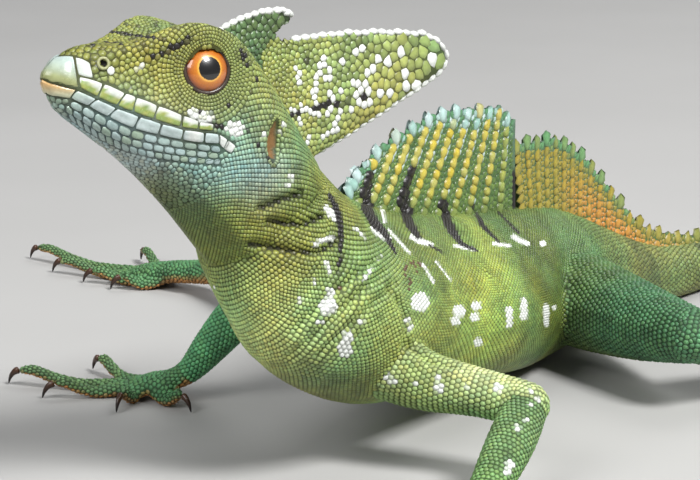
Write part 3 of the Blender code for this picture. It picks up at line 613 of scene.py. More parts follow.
def mesh_from(name, points, faces):
    """A smooth mesh object made from points in mm and faces that all have as many corners."""
    faces = np.asarray(faces)
    mesh = bpy.data.meshes.new(name)
    mesh.vertices.add(len(points))
    mesh.vertices.foreach_set("co", to_world(points).ravel())
    mesh.loops.add(faces.size)
    mesh.loops.foreach_set("vertex_index", faces.ravel())
    mesh.polygons.add(len(faces))
    mesh.polygons.foreach_set("loop_start", np.arange(0, faces.size, faces.shape[1]))
    mesh.polygons.foreach_set("use_smooth", np.ones(len(faces), bool))
    mesh.update(calc_edges=True)
    mesh.validate()
    made = bpy.data.objects.new(name, mesh)
    bpy.context.scene.collection.objects.link(made)
    return made


def grid_faces(columns, rows, closed=False, looped=False):
    """Quads between the points of a grid, numbered column by column; either way may close."""
    i, j = grid_of(np.arange(columns if closed else columns - 1), np.arange(rows if looped else rows - 1))
    after, above = (i + 1) % columns * rows, (j + 1) % rows
    return np.stack([i * rows + j, after + j, after + above, i * rows + above], axis=1)


def turns_of(count):
    return 2 * math.pi * np.arange(count) / count


def tidied(target, merge=None):
    """Merges points closer than a distance in mm, where one is given, and turns the faces outward."""
    select_only(target)
    bpy.ops.object.mode_set(mode="EDIT")
    bpy.ops.mesh.select_all(action="SELECT")
    if merge:
        bpy.ops.mesh.remove_doubles(threshold=merge * MM)
    bpy.ops.mesh.normals_make_consistent(inside=False)
    bpy.ops.object.mode_set(mode="OBJECT")
    return target


def crest_blade(name, lines, rays, columns, rows):
    s, v = grid_of(np.linspace(0, 1, columns), np.linspace(0, 1, rows))
    left = blade_point(lines, rays, s, v, 1)
    right = blade_point(lines, rays, s, v, -1)
    faces = grid_faces(columns, rows)
    count = len(left)
    around = [i * rows for i in range(columns)] + [(columns - 1) * rows + j for j in range(1, rows)]
    around += [i * rows + rows - 1 for i in range(columns - 2, -1, -1)] + list(range(rows - 2, 0, -1))
    rim = [(a, a + count, b + count, b) for a, b in zip(around, around[1:] + around[:1])]
    made = mesh_from(name, np.concatenate([left, right]),
                     np.concatenate([faces, faces[:, ::-1] + count, np.array(rim)]))
    return tidied(made)


dorsal_blade = crest_blade("dorsal_blade", dorsal_lines, DORSAL_RAYS, 12 * DORSAL_RAYS + 1, 16)
tail_blade = crest_blade("tail_blade", tail_lines, TAIL_RAYS, 10 * TAIL_RAYS + 1, 12)
print("crest blades:", len(dorsal_blade.data.polygons) + len(tail_blade.data.polygons), "faces")

# %% [markdown]
# To know which part of the body a scale is on, and so its size and colour, each place is given to
# the solid that lies nearest. One search tree holds the triangles of all those solids.
# %% Parts of the body


def joint_tree(objects):
    """A search tree over several objects, and for each triangle the number of its object."""
    points, faces, owners, total = [], [], [], 0
    for number, one in enumerate(objects):
        places, corners = points_of(one), triangles_of(one)
        points.append(places)
        faces.append(corners + total)
        owners.append(np.full(len(corners), number))
        total += len(places)
    tree = BVHTree.FromPolygons(np.concatenate(points).tolist(), np.concatenate(faces).tolist())
    return tree, np.concatenate(owners)


flesh_tree, flesh_owner = joint_tree([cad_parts[name] for name in FLESH])
seen_tree, _ = joint_tree([skin, dorsal_blade, tail_blade])
skin_corners, skin_ways = triangles_of(skin), normals_of(skin)


def parts_at(points):
    """For each point the number in FLESH of the nearest solid."""
    return flesh_owner[[flesh_tree.find_nearest(Vector(p))[2] for p in points]]


def smooth_ways(triangles):
    """The skin's outward direction at some of its triangles, rounded over their corners."""
    return unit(skin_ways[skin_corners[triangles]].sum(axis=1))


PART = {name: number for number, name in enumerate(FLESH)}


def on_part(parts, *names):
    """Marks the numbers that are those of the named solids."""
    return np.isin(parts, [PART[name] for name in names])


print(len(flesh_owner), "triangles to search")

# %% [markdown]
# Every scale has a site: a place on the skin, the way out of it, the way its tip points, and its
# size. On the trunk, tail and legs the real scales stand in neat rows round the body, so rays are
# cast outward from the body's middle line, ring after ring, each ring turned half a scale.
# %% The sites of the scales
WAVE_LENGTH = 11.0
KIND = {"ghost": 0, "body": 1, "tail": 2, "limb": 3, "toe": 4, "lid": 5, "shield": 6, "fill": 7}
sites = {"place": np.zeros((0, 3)), "way": np.zeros((0, 3)), "axis": np.zeros((0, 3)), "pitch": np.zeros(0),
         "kind": np.zeros(0, int)}


def kd_of(points):
    tree = KDTree(len(points))
    for number, point in enumerate(points):
        tree.insert(point, number)
    tree.balance()
    return tree


def thinned(places, pitch, keep):
    """Marks the places that stand clear of older sites and of earlier ones of their own."""
    good = np.ones(len(places), bool)
    if len(sites["place"]):
        older = kd_of(sites["place"])
        for i, place in enumerate(places):
            _, number, gap = older.find(Vector(place))
            if gap < keep * 0.5 * (pitch[i] + sites["pitch"][number]):
                good[i] = False
    own = kd_of(places)
    for i in np.flatnonzero(good):
        if good[i]:
            for _, number, _ in own.find_range(Vector(places[i]), keep * pitch[i]):
                if number > i:
                    good[number] = False
    return good


def add_sites(kind, places, ways, axes, pitch, keep=0.62):
    """Adds sites where there is room for them, and tells how many."""
    places = np.asarray(places).reshape(-1, 3)
    pitch = np.broadcast_to(np.asarray(pitch, float), len(places)).copy()
    good = thinned(places, pitch, keep)
    new = {"place": places, "way": np.asarray(ways), "axis": np.broadcast_to(axes, places.shape),
           "pitch": pitch, "kind": np.full(len(places), KIND[kind])}
    for key, values in new.items():
        sites[key] = np.concatenate([sites[key], values[good]])
    return int(good.sum())


def cast_rings(kind, centres, sides, ups, counts, pitch, reach, only=None, wave=0.0):
    """Sites where rays from a middle line meet the skin; sides and ups hold half width and height."""
    found = []
    for r, centre in enumerate(centres):
        ahead = unit(centres[min(r + 1, len(centres) - 1)] - centres[max(r - 1, 0)])
        for k in range(counts[r]):
            angle = 2 * math.pi * (k + 0.5 * (r % 2)) / counts[r]
            way = sides[r] * math.cos(angle) + ups[r] * math.sin(angle)
            start = centre
            if wave:
                start = start + ahead * wave * noise.noise(Vector((start + way) / WAVE_LENGTH))
            far = np.linalg.norm(way) * reach
            place, _, triangle, _ = skin_tree.ray_cast(Vector(start), Vector(way), far)
            if place is not None:
                found.append((place, triangle, ahead, pitch[r]))
    places, triangles, axes, pitches = (np.array(one) for one in zip(*found))
    if only is not None:
        mine = on_part(parts_at(places), *only)
        places, triangles, axes, pitches = places[mine], triangles[mine], axes[mine], pitches[mine]
    return add_sites(kind, places, smooth_ways(triangles), axes, pitches)


def cast_down(kind, starts, way, reach, axes, pitch, keep=0.62, facing=-1.0):
    """Sites where rays that all run one way meet skin that faces them."""
    hits = [skin_tree.ray_cast(Vector(start), Vector(way), reach) for start in starts]
    met = np.array([hit[0] is not None for hit in hits])
    places = np.array([hit[0] for hit in hits if hit[0] is not None])
    ways = smooth_ways(np.array([hit[2] for hit in hits if hit[0] is not None]))
    good = ways @ -way > facing
    axes = np.broadcast_to(axes, starts.shape)[met]
    return add_sites(kind, places[good], ways[good], axes[good], pitch, keep)


def spaced(rows, start, end, pitch_at, size=3):
    """Row numbers from start to end whose distance along the middle line is the local pitch."""
    fine = np.arange(start, end, 0.002)
    table = along(rows, fine)
    middle = (table[:, 0:3] + table[:, 3:6]) / 2 if size == 6 else table[:, 0:3]
    steps = length(np.diff(middle, axis=0))
    travelled = np.concatenate([[0], np.cumsum(steps / np.array([pitch_at(t) for t in fine[:-1]]))])
    return np.interp(np.arange(0, travelled[-1]), travelled, fine)


print(len(KIND), "kinds of sites")

# %% [markdown]
# The lips carry large smooth plates. Each is a patch with four corners, followed in the picture on
# the left side and mirrored to the right. A small grid is stretched between its corners, laid on
# the skin and raised like a fingernail. Ghost sites under it keep small scales away.
# %% Plates of the lips and the snout
UPPER_JOINTS = [
    ((80, 88), (78.2, 76)), ((97.6, 97.5), (104, 83)), ((117, 106), (126, 93)), ((133, 112), (136, 96.5)),
    ((154, 119.6), (158, 105)), ((181, 127.5), (183, 115)), ((198, 129.5), (199, 121)),
    ((213, 131), (214, 124))]
LOWER_JOINTS = [
    ((77, 90), (70, 98)), ((97, 99), (88, 106)), ((117, 108), (108, 117)), ((140, 116.5), (134, 129)),
    ((162, 123.5), (158.5, 135)), ((184, 129.5), (182, 140)), ((205, 132.5), (204, 143)),
    ((219, 134), (219.5, 144)), ((228, 139.5), (223.5, 149)), ((236, 146), (231, 153.5))]
ROSTRAL = [((47.5, 79.5), (56, 54.5)), ((79, 88.5), (73, 56))]
MENTAL = [((47, 80.5), (51, 96)), ((76.5, 90), (70, 98.5))]
WHITE_STRIP = [((77.8, 75.5), (74.2, 56.5)), ((94, 79), (90, 62))]
CHIN_LINES = [
    [(69, 99), (87, 107), (107, 118), (133, 129.5), (158, 136), (182, 141), (204, 144), (220, 146)],
    [(66, 104.5), (83, 114.5), (103, 126), (129, 137.5), (156, 144), (181, 148.5), (204, 151), (221, 153)],
    [(66, 111), (82, 121.5), (100, 132.5), (126, 144.5), (153, 151), (180, 155.5), (203, 158), (221, 159.5)],
    [(70, 119), (83, 128.5), (99, 138.5), (123, 150.5), (150, 157), (178, 161.5), (202, 164), (219, 165)]]
CHIN_COUNTS = (12, 15, 19)
PLATE_ACROSS = np.array([0, 0.035, 0.11, 0.28, 0.5, 0.72, 0.89, 0.965, 1])
PLATE_UP = np.array([0, 0.05, 0.16, 0.38, 0.62, 0.84, 0.95, 1])
CHEEK_PIXEL = (150, 95)
CORNER_ROUNDING = 0.34
GHOST_STEP, GHOST_PITCH = 0.55, 0.42
plates = []


def on_skin(points):
    """Places on the skin nearest to some points, with the smooth way out there."""
    found = [skin_tree.find_nearest(Vector(p)) for p in points]
    return np.array([hit[0] for hit in found]), smooth_ways(np.array([hit[2] for hit in found]))


def add_plate(corners, raise_by, finish, gap=0.06, joined=None):
    """One plate between four corners: low start, low end, high end, high start.

    A plate on the midline is joined with its twin, so that side (0 or 1) has no gap and no edge."""
    u, v = grid_of(PLATE_ACROSS, PLATE_UP)
    low_start, low_end, high_end, high_start = (np.asarray(c) for c in corners)
    inset_u = gap / np.linalg.norm(low_end - low_start)
    inset_v = 0.3 * gap / np.linalg.norm(high_start - low_start)
    start, end = (0 if joined == side else inset_u for side in (0, 1))
    spread = start + (1 - start - end) * u[:, None]
    lift = inset_v + (1 - 2 * inset_v) * v[:, None]
    bend = CORNER_ROUNDING * (1 if finish.startswith("chin") else 0.3) * (joined is None)
    away = 2 * spread - 1, 2 * lift - 1
    spread, lift = (0.5 + 0.5 * a * (1 - bend * a * a * b * b) for a, b in (away, away[::-1]))
    points = (low_start * (1 - spread) + low_end * spread) * (1 - lift)
    points += (high_start * (1 - spread) + high_end * spread) * lift
    points, ways = on_skin(points)
    edge_u = u if joined is None else (1 + u) / 2 if joined == 0 else u / 2
    round_u = 1 - np.abs(2 * edge_u - 1) ** 9
    round_v = 1 - np.abs(2 * v - 1) ** 6
    height = -0.10 + (raise_by + 0.10) * (round_u * round_v) ** 0.6
    plates.append((points + ways * height[:, None], u, v, finish))
    sizes = [max(3, int(np.linalg.norm(corners[k] - corners[0]) / GHOST_STEP)) for k in (1, 3)]
    s, t = (one.ravel()[:, None] for one in np.meshgrid(*(np.linspace(0.02, 0.98, size) for size in sizes)))
    points = (low_start * (1 - s) + low_end * s) * (1 - t) + (high_start * (1 - s) + high_end * s) * t
    points, ways = on_skin(points)
    add_sites("ghost", points, ways, BACKWARD, GHOST_PITCH, keep=0.3)


def looked_near(pixel):
    """The skin seen at a pixel, or at the first one that shows skin on the way to the cheek."""
    pixel, cheek = np.array(pixel), np.array(CHEEK_PIXEL)
    for step in range(12):
        spot = looked_at(skin_tree, *(pixel * (1 - 0.01 * step) + cheek * 0.01 * step))
        if spot is not None:
            return spot
    return None


def on_midline(point):
    """The place on the skin at the same distance along the head, in its middle plane."""
    back, _, up = head_place(point[None])[0]
    return on_skin(in_head(back - 1, 0, up)[None])[0][0]


def add_plate_row(joints, raise_by, finish, median=False):
    """A row of plates between joints given as pairs of pixels, on both sides of the head."""
    found = [[looked_near(pixel) for pixel in joint] for joint in joints]
    halves = (0, 1) if median else (None, None)
    if median:
        found[0] = [on_midline(place) for place in found[0]]
    for start, end in zip(found[:-1], found[1:]):
        corners = [start[0], end[0], end[1], start[1]]
        add_plate(corners, raise_by, finish, joined=halves[0])
        twin = [across_head(np.array([c]))[0] for c in corners]
        add_plate([twin[1], twin[0], twin[3], twin[2]], raise_by, finish + " twin", joined=halves[1])


def resampled(line, count, offset):
    """A drawn line as pixels that stand evenly along it, the inner ones shifted by a share of a step."""
    line = np.array(line, float)
    steps = travel_along(line)
    marks = np.clip((np.arange(count + 1) + offset) / count * steps[-1], 0, steps[-1])
    return list(zip(*(np.interp(marks, steps, line[:, k]) for k in range(2))))


for joints, raise_by, finish, median in (
        (UPPER_JOINTS, 0.34, "upper lip", False), (LOWER_JOINTS, 0.32, "lower lip", False),
        (ROSTRAL, 0.5, "rostral", True), (MENTAL, 0.45, "mental", True), (WHITE_STRIP, 0.25, "white", False)):
    add_plate_row(joints, raise_by, finish, median)
for row, count in enumerate(CHIN_COUNTS):
    upper, lower = (resampled(CHIN_LINES[row + k], count, 0.25 * (-1) ** row) for k in (0, 1))
    add_plate_row(list(zip(upper, lower)), 0.26, "chin")
print(len(plates), "plates")

# %% Single shields round the nostrils and on the snout, lore, brow and cheek
NOSTRIL_RING = [(95, 57.5), (94.5, 70), (103, 74), (111, 70.5), (115, 63), (110.5, 56), (102.5, 53)]
CANTHUS_RIDGE = [(148, 59.5), (158, 57), (168, 52), (177, 46.5), (187, 41.5), (196, 38)]
MID_LORE = [
    (92, 80), (112, 80), (127, 86), (140, 92), (122, 78), (131, 72), (143, 80), (150, 92), (104, 78)]
SNOUT_TOP = [(79, 51), (88, 49), (98, 46.5), (86, 57), (72, 50.5)]
WHITE_CHEEK = [
    (190, 112), (196, 116), (203, 114), (209, 119), (199, 121), (211, 113), (230, 124), (236, 130),
    (239, 124)]


def evenly(cloud, gap, offset=0.0):
    """Places a given gap apart along a traced line."""
    steps = travel_along(cloud)
    marks = np.arange(offset * gap, steps[-1], gap)
    return np.stack([np.interp(marks, steps, cloud[:, k]) for k in range(3)], axis=1)


def sites_at(pixels, pitch, kind="shield"):
    """Sites at some pixels, and their twins on the other side of the head."""
    places, ways = on_skin(both_sides(seen_at(skin_tree, pixels), True))
    return add_sites(kind, places, ways, BACKWARD, pitch, keep=0.5)


shield_count = sites_at([NOSTRIL_IN_PICTURE], 1.1, "ghost") + sites_at(NOSTRIL_RING, 1.6)
shield_count += sites_at(CANTHUS_RIDGE, 1.4) + sites_at(MID_LORE, 1.4) + sites_at(SNOUT_TOP, 1.3)
shield_count += sites_at(WHITE_CHEEK, 1.3)
print(shield_count, "shields")

# %% [markdown]
# Round the eye the scales stand in rings, as small as sand at the lid's edge and larger outward.
# They are found by looking at the skin from outside, along the eye's own line of gaze.
# %% Rings of scales round the eyes
EYE_FORWARD, EYE_UPWARD = 20.0, 6.0
EYE_RADIUS, EYE_HALF_DEPTH = 5.6, 4.9
LID_RINGS = [
    (4.95, 0.5), (5.5, 0.6), (6.15, 0.68), (6.85, 0.72), (7.6, 0.78), (8.4, 0.85), (9.3, 0.95), (10.3, 1.0)]
EYE_SIDES = {"left": 1, "right": -1}
LOOK_FROM, LOOK_REACH = 14, 13.5


def square_to(way):
    """Directions backward and upward along the head that are square to a way out of it."""
    back = unit(BACKWARD - way * (BACKWARD @ way))
    top = np.cross(way, back)
    return back, top if top @ UPWARD > 0 else -top


def eye_frame(side):
    """The eye's middle, its line of gaze, and directions backward and upward square to it."""
    forward, up = math.radians(EYE_FORWARD), math.radians(EYE_UPWARD)
    level = LEFTWARD * side * math.cos(forward) - BACKWARD * math.sin(forward)
    gaze = level * math.cos(up) + UPWARD * math.sin(up)
    return in_head(EYE_PLACE[0], side * EYE_PLACE[1], EYE_PLACE[2]), gaze, *square_to(gaze)


lid_count = 0
for side in EYE_SIDES.values():
    centre, gaze, back, top = eye_frame(side)
    for number, (reach, pitch) in enumerate(LID_RINGS):
        count = int(2 * math.pi * reach / pitch)
        turns = [2 * math.pi * (k + 0.5 * (number % 2)) / count for k in range(count)]
        outs = np.array([back * math.cos(turn) + top * math.sin(turn) for turn in turns])
        lid_count += cast_down("lid", centre + outs * reach + gaze * LOOK_FROM, -gaze, LOOK_REACH,
                               np.cross(gaze, outs), pitch, facing=0.1)
print(lid_count, "scales round the eyes")

# %% [markdown]
# The ear is a slit with a bare brown drum at its floor. No scales stand on the drum, so ghost sites
# keep them off it, and small scales ring its edge.
# %% The ears
EAR_PLACE, EAR_WIDE, EAR_TALL, EAR_LEAN = (50.3, 12.0, 0.5), 1.25, 3.7, 0.18
# How far out each ring of sites lies as a share of the slit, what it is, and its pitch.
EAR_RINGS = [(0.1, "ghost", 0.7), (0.35, "ghost", 0.7), (0.6, "ghost", 0.7), (0.85, "ghost", 0.7),
             (1.0, "ghost", 0.7), (1.3, "lid", 0.8)]


def ear_frame(side):
    """The ear's middle, its outward way, and directions backward and upward along its slit."""
    out = unit(LEFTWARD * side + BACKWARD * 0.1)
    back, top = square_to(out)
    leaned_back = back * math.cos(EAR_LEAN) + top * math.sin(EAR_LEAN)
    leaned_top = top * math.cos(EAR_LEAN) - back * math.sin(EAR_LEAN)
    return in_head(EAR_PLACE[0], side * EAR_PLACE[1], EAR_PLACE[2]), out, leaned_back, leaned_top


ear_count = 0
for side in EYE_SIDES.values():
    centre, out, back, top = ear_frame(side)
    for share, kind, pitch in EAR_RINGS:
        count = max(6, int(2 * math.pi * share * 3.2 / pitch))
        turns = turns_of(count)[:, None]
        ring = centre + share * (EAR_WIDE * np.cos(turns) * back + EAR_TALL * np.sin(turns) * top)
        ear_count += cast_down(kind, ring + out * 6, -out, 10, top, pitch, keep=0.4)
print(ear_count, "sites at the ears")

# %% [markdown]
# On neck and trunk the rows run round the body about a millimetre apart. They wander a little, as
# the real rows do over muscles and folds. The rows begin behind the eye, on the cheeks and throat.
# %% Rows of scales on cheeks, neck, trunk and tail
BODY_PITCH = 0.98
ROW_PITCH = 0.70
BODY_AROUND = 106
ROW_WAVE = 2.2
HEAD_SECTIONS = [
    (in_head(41, 0, 16), in_head(37.5, 0, -17.3), 10.9), (in_head(49, 0, 13), in_head(41, 0, -19), 11.7),
    (in_head(59, 0, 7.8), in_head(45, 0, -21.8), 12.3)]
CHEEK_ROWS = np.array([[*top, *bottom, half] for top, bottom, half in HEAD_SECTIONS + BODY_SECTIONS[:1]])
CHEEK_PITCH, CHEEK_ROW_PITCH, CHEEK_AROUND, CHEEK_WAVE = 0.92, 0.7, 92, 1.0


def body_frames(places, rows):
    table = along(rows, places)
    top, bottom, half = table[:, 0:3], table[:, 3:6], table[:, 6:7]
    middle = (top + bottom) / 2
    ahead = along(rows, places + 0.01)[:, 0:6] - along(rows, places - 0.01)[:, 0:6]
    ahead = unit(ahead[:, 0:3] + ahead[:, 3:6])
    rise = (top - bottom) / 2
    side = unit(np.cross(ahead, rise)) * half
    side *= np.sign(side[:, 0:1] + 1e-9)
    return middle, side, rise


def even_rows(places, rows, around, pitch, reach, nodes, wave):
    """Rows of one pitch, with as many scales in each, on the named solids."""
    middle, side, rise = body_frames(places, rows)
    made = cast_rings("body", middle, side, rise, [around] * len(middle), np.full(len(middle), pitch), reach,
                      nodes, wave)
    print(made, "scales in", len(middle), "rows on", *nodes)


cheek_places = spaced(CHEEK_ROWS, 0.3, 2.98, lambda t: CHEEK_ROW_PITCH, 6)
even_rows(cheek_places, CHEEK_ROWS, CHEEK_AROUND, CHEEK_PITCH, 1.3, ["head"], CHEEK_WAVE)
body_places = spaced(BODY_ROWS, 0.02, 9.3, lambda t: ROW_PITCH, 6)
even_rows(body_places, BODY_ROWS, BODY_AROUND, BODY_PITCH, 1.35, TRUNK_NODES[:3], ROW_WAVE)


def tail_pitch(t):
    return float(keyed([(9.3, 1.0), (11, 1.25), (13, 1.55), (16, 1.85), (20, 1.8), (23, 1.5)], t))


tail_places = spaced(BODY_ROWS, 9.3, 22.95, tail_pitch, 6)
middle, side, rise = body_frames(tail_places, BODY_ROWS)
girth = 2 * math.pi * np.sqrt((length(side) ** 2 + length(rise) ** 2) / 2)
pitches = np.array([tail_pitch(t) for t in tail_places])
counts = np.maximum(6, 4 * np.round(girth / pitches / 0.95 / 4)).astype(int)
made = cast_rings("tail", middle, side, rise, counts, pitches, 1.5)
print(made, "scales in", len(middle), "rows on the tail")

# %% Rows of scales on the legs
LIMBS = {
    "arm_left": [(7, -3, 24, 15, 17), (18, -1.5, 20.2, 13, 13.4), (30, 0.4, 18.9, 10.8, 10.6),
                 (41.3, 1.8, 17.4, 10, 10), (43.2, -9, 12.8, 10.2, 10.2), (44.8, -20, 8.6, 8.8, 8.4),
                 (46.2, -30, 5.4, 7, 6), (46.8, -36, 4.2, 7.6, 4.8)],
    "arm_right": [(-9, -2.5, 33, 14, 16), (-17, 1.5, 32.5, 12.6, 14), (-26, 11, 31.5, 10.6, 10.6),
                  (-34, 20, 29, 10, 10), (-40.5, 18.3, 21.5, 10.2, 10.2), (-46.5, 16.5, 14, 8.8, 8.6),
                  (-51.5, 14.8, 7.6, 7.2, 6.2), (-56, 13.6, 5, 7.8, 4.8)],
    "leg_left": [(5, 95, 15.6, 26, 24), (15, 90.5, 15, 25, 23), (33, 79, 15.9, 19.6, 19),
                 (51, 67, 17.8, 13.2, 13.4), (56, 79, 14.2, 14, 13.4), (62, 92, 10.5, 11.6, 10.6),
                 (67, 103, 7.2, 8.8, 8), (71.5, 107.5, 5.4, 9.2, 6.6)],
    "leg_right": [(-5, 97, 17, 26, 24), (-15, 94, 17.2, 25, 23), (-34, 86, 19.6, 19.6, 19),
                  (-54, 79.5, 22, 13.2, 13.4), (-68, 85, 17, 14, 13.4), (-82, 91, 12.2, 11.6, 10.6),
                  (-96, 96.6, 8.2, 8.8, 8.2), (-102.5, 99, 6.2, 9.2, 6.8)],
}
LIMB_PITCH = {"arm": 1.15, "leg": 1.3}


def nodes_of(limb):
    piece, flank = limb.split("_")
    return [one + "_" + flank for one in (LIMB_PIECES[:3] if piece == "arm" else LIMB_PIECES[3:])]


def line_frames(table):
    """Middle, half-width and half-height vectors along a limb or toe."""
    middle = table[:, 0:3]
    ahead = unit(np.gradient(middle, axis=0))
    side = unit(np.cross(ahead, (0, 0, 1.0)))
    rise = np.cross(side, ahead)
    return middle, side * table[:, 3:4] / 2, rise * table[:, 4:5] / 2


for limb, rows in LIMBS.items():
    pitch = LIMB_PITCH[limb.split("_")[0]]
    made = 0
    for start, end in ((0.15, 3.0), (3.0, 7.0)):
        table = along(rows, spaced(rows, start, end, lambda t: pitch * 0.95))
        middle, side, rise = line_frames(table)
        girth = math.pi * (table[:, 3] + table[:, 4]) / 2
        counts = (2 * np.round(girth / pitch / 2)).astype(int)
        made += cast_rings("limb", middle, side, rise, counts, np.full(len(middle), pitch), 1.4,
                           nodes_of(limb))
    print(made, "scales on the", limb)

# %% Plates of the toes
TOES = {
    "hand_left": [(13, 52, 0.0), (19, 24, 0.1), (26, 4, 0.2), (27, -18, 0.3), (19, -50, 0.4)],
    "hand_right": [(9.5, 156, -0.2), (9, 87, 0.7), (19, 24, 1.0), (30, 4, 1.0), (21, -33, 0.7)],
    "foot_left": [(11, 42, 0.3), (19, 25, 0.5), (30, 11, 0.75), (43, -3, 1.0), (27, -34, 0.3)],
    "foot_right": [(11, 36, 0.3), (19, 22, 0.5), (30, 10, 0.75), (43, -2, 1.0), (27, -32, 0.3)],
}
# Limb, length, width, heading and the side of the first toe of each sole.
SOLES = {
    "hand_left": ("arm_left", 10, 10.5, (0.12, -1), -1), "hand_right": ("arm_right", 9, 10, (-1, -0.2), 1),
    "foot_left": ("leg_left", 22, 10.5, (0.93, -0.38), -1),
    "foot_right": ("leg_right", 21, 10.5, (-1, 0.07), 1)}
TOE_THICK = 3.3
TOE_PITCH = 1.05
TOE_HEIGHTS = [(0, 3.0), (0.3, 1.8), (0.6, 1.45), (0.85, 4.0), (1, 3.9)]


def toe_rows(sole):
    """The middle line of each toe of a hand or foot, as rows of place, width and height."""
    limb, length, width, heading, side = SOLES[sole]
    heading = unit(np.array([*heading, 0.0]))
    joint = np.array(LIMBS[limb][7][0:3], float)
    across = np.cross(np.array([0, 0, 1.0]), heading) * side
    lines = []
    for number, (reach, spread, place) in enumerate(TOES[sole]):
        turn = math.radians(spread) * side
        way = np.array([heading[0] * math.cos(turn) - heading[1] * math.sin(turn),
                        heading[0] * math.sin(turn) + heading[1] * math.cos(turn), 0])
        offset = (2 - number) / 4 * width * 0.62
        start = joint + heading * length * (0.45 + 0.5 * place) + across * offset
        lines.append([(*(start * (1, 1, 0) + way * reach * share + (0, 0, height)), TOE_THICK, TOE_THICK)
                      for share, height in TOE_HEIGHTS])
    return lines


toe_count = 0
for sole in SOLES:
    for rows in toe_rows(sole):
        table = along(rows, spaced(rows, 0.4, 3.97, lambda t: TOE_PITCH))
        middle, side, rise = line_frames(table)
        toe_count += cast_rings("toe", middle, side, rise, [8] * len(middle), np.full(len(middle), TOE_PITCH),
                                1.7, [sole])
print(toe_count, "plates on the toes")

# %% [markdown]
# The thin edges of the two head crests carry beads later. Ghost sites along each edge, on both
# faces, make the tiles end there and keep tiles off the edge itself.
# %% Edges of the head crests
CASQUE_EDGE = [
    (52.6, 19.8), (59.3, 22.4), (68.7, 25.6), (78.6, 28.6), (90.4, 31.5), (100.3, 32.9), (106.2, 30.1),
    (104.7, 25.3), (95.2, 17.5), (82.6, 7.6), (72.5, 0.4)]
EDGE_STEP, EDGE_OUT, EDGE_ASIDE, EDGE_PITCH = 0.8, 0.55, 0.35, 0.6
FRONT_EDGE = [(37.5, 17.4), (43, 22.0), (49.9, 25.9), (54.7, 27.4), (58.4, 27.0)]


def bead_line(edge, gap):
    """Places and outward ways along the edge of a fin, from its outline in the head's frame."""
    table = along(edge, np.linspace(0, len(edge) - 1, 400))
    path = np.array([in_head(back, 0, up) for back, up in table])
    middle = path.mean(axis=0)
    spots = evenly(path, gap, 0.5)
    found = []
    for index, spot in enumerate(spots):
        ahead = unit(spots[min(index + 1, len(spots) - 1)] - spots[max(index - 1, 0)])
        out = np.cross(LEFTWARD, ahead)
        out = out if out @ (spot - middle) > 0 else -out
        hit = skin_tree.ray_cast(Vector(spot + out * 8), Vector(-out), 14)
        if hit[0] is not None:
            found.append((hit[0], out, ahead))
    return (np.array(one) for one in zip(*found))


edge_count = 0
for edge in (CASQUE_EDGE, FRONT_EDGE):
    places, outs, _ = bead_line(edge, EDGE_STEP)
    for side in EYE_SIDES.values():
        ways = np.tile(LEFTWARD * side, (len(places), 1))
        spots = places + EDGE_OUT * outs + EDGE_ASIDE * ways
        edge_count += add_sites("ghost", spots, ways, BACKWARD, EDGE_PITCH, keep=0.4)
print(edge_count, "ghosts on the crests' edges")

# %% [markdown]
# What is left is filled with scales that keep their distance from each other, as pebbles do. Random
# places on the skin are taken one by one where there is room, then pushed apart a few times. On
# the casque they grow from tiny at the head to the large tiles at its rear edge.
# %% The fill between the rows
rng = np.random.default_rng(7)
FILL_TRIES = 14
SOCKET_RADIUS = 6.3


def head_pitch(points):
    """How large the head's small scales are: granules on the brow, larger on the snout."""
    back, _, up = head_place(points).T
    pitch = np.full(len(points), 0.92)
    pitch = np.where(back < 27, 1.12 - 0.009 * back, pitch)
    pitch = np.where((back < 46) & (up > 11), 0.80, pitch)
    pitch = np.where(up < -6, 0.95, pitch)
    return pitch


def casque_pitch(points):
    back, _, up = head_place(points).T
    inner, outer = np.array([58.0, 6.0]), np.array([103.0, 29.0])
    share = ((np.stack([back, up], 1) - inner) @ (outer - inner)) / ((outer - inner) @ (outer - inner))
    return 0.9 + 1.6 * np.clip(share, 0, 1) ** 1.1


def fin_pitch(points):
    _, _, up = head_place(points).T
    return 0.95 + 0.07 * np.clip(up - 15, 0, 10)


def pitch_at(points, parts):
    pitch = np.full(len(points), 0.95)
    pitch = np.where(parts == PART["head"], head_pitch(points), pitch)
    pitch = np.where(parts == PART["head_crest_rear"], casque_pitch(points), pitch)
    pitch = np.where(parts == PART["head_crest_front"], fin_pitch(points), pitch)
    return np.where(on_part(parts, *TRUNK_NODES[3:]), 1.5, pitch)


def random_on_skin(count):
    points = points_of(skin)[skin_corners]
    areas = length(np.cross(points[:, 1] - points[:, 0], points[:, 2] - points[:, 0]))
    chosen = rng.choice(len(points), count, p=areas / areas.sum())
    a, b = rng.random(count), rng.random(count)
    flip = a + b > 1
    a, b = np.where(flip, 1 - a, a), np.where(flip, 1 - b, b)
    first, second, third = points[chosen].transpose(1, 0, 2)
    places = first + (second - first) * a[:, None] + (third - first) * b[:, None]
    return places, smooth_ways(chosen), areas.sum() / 2


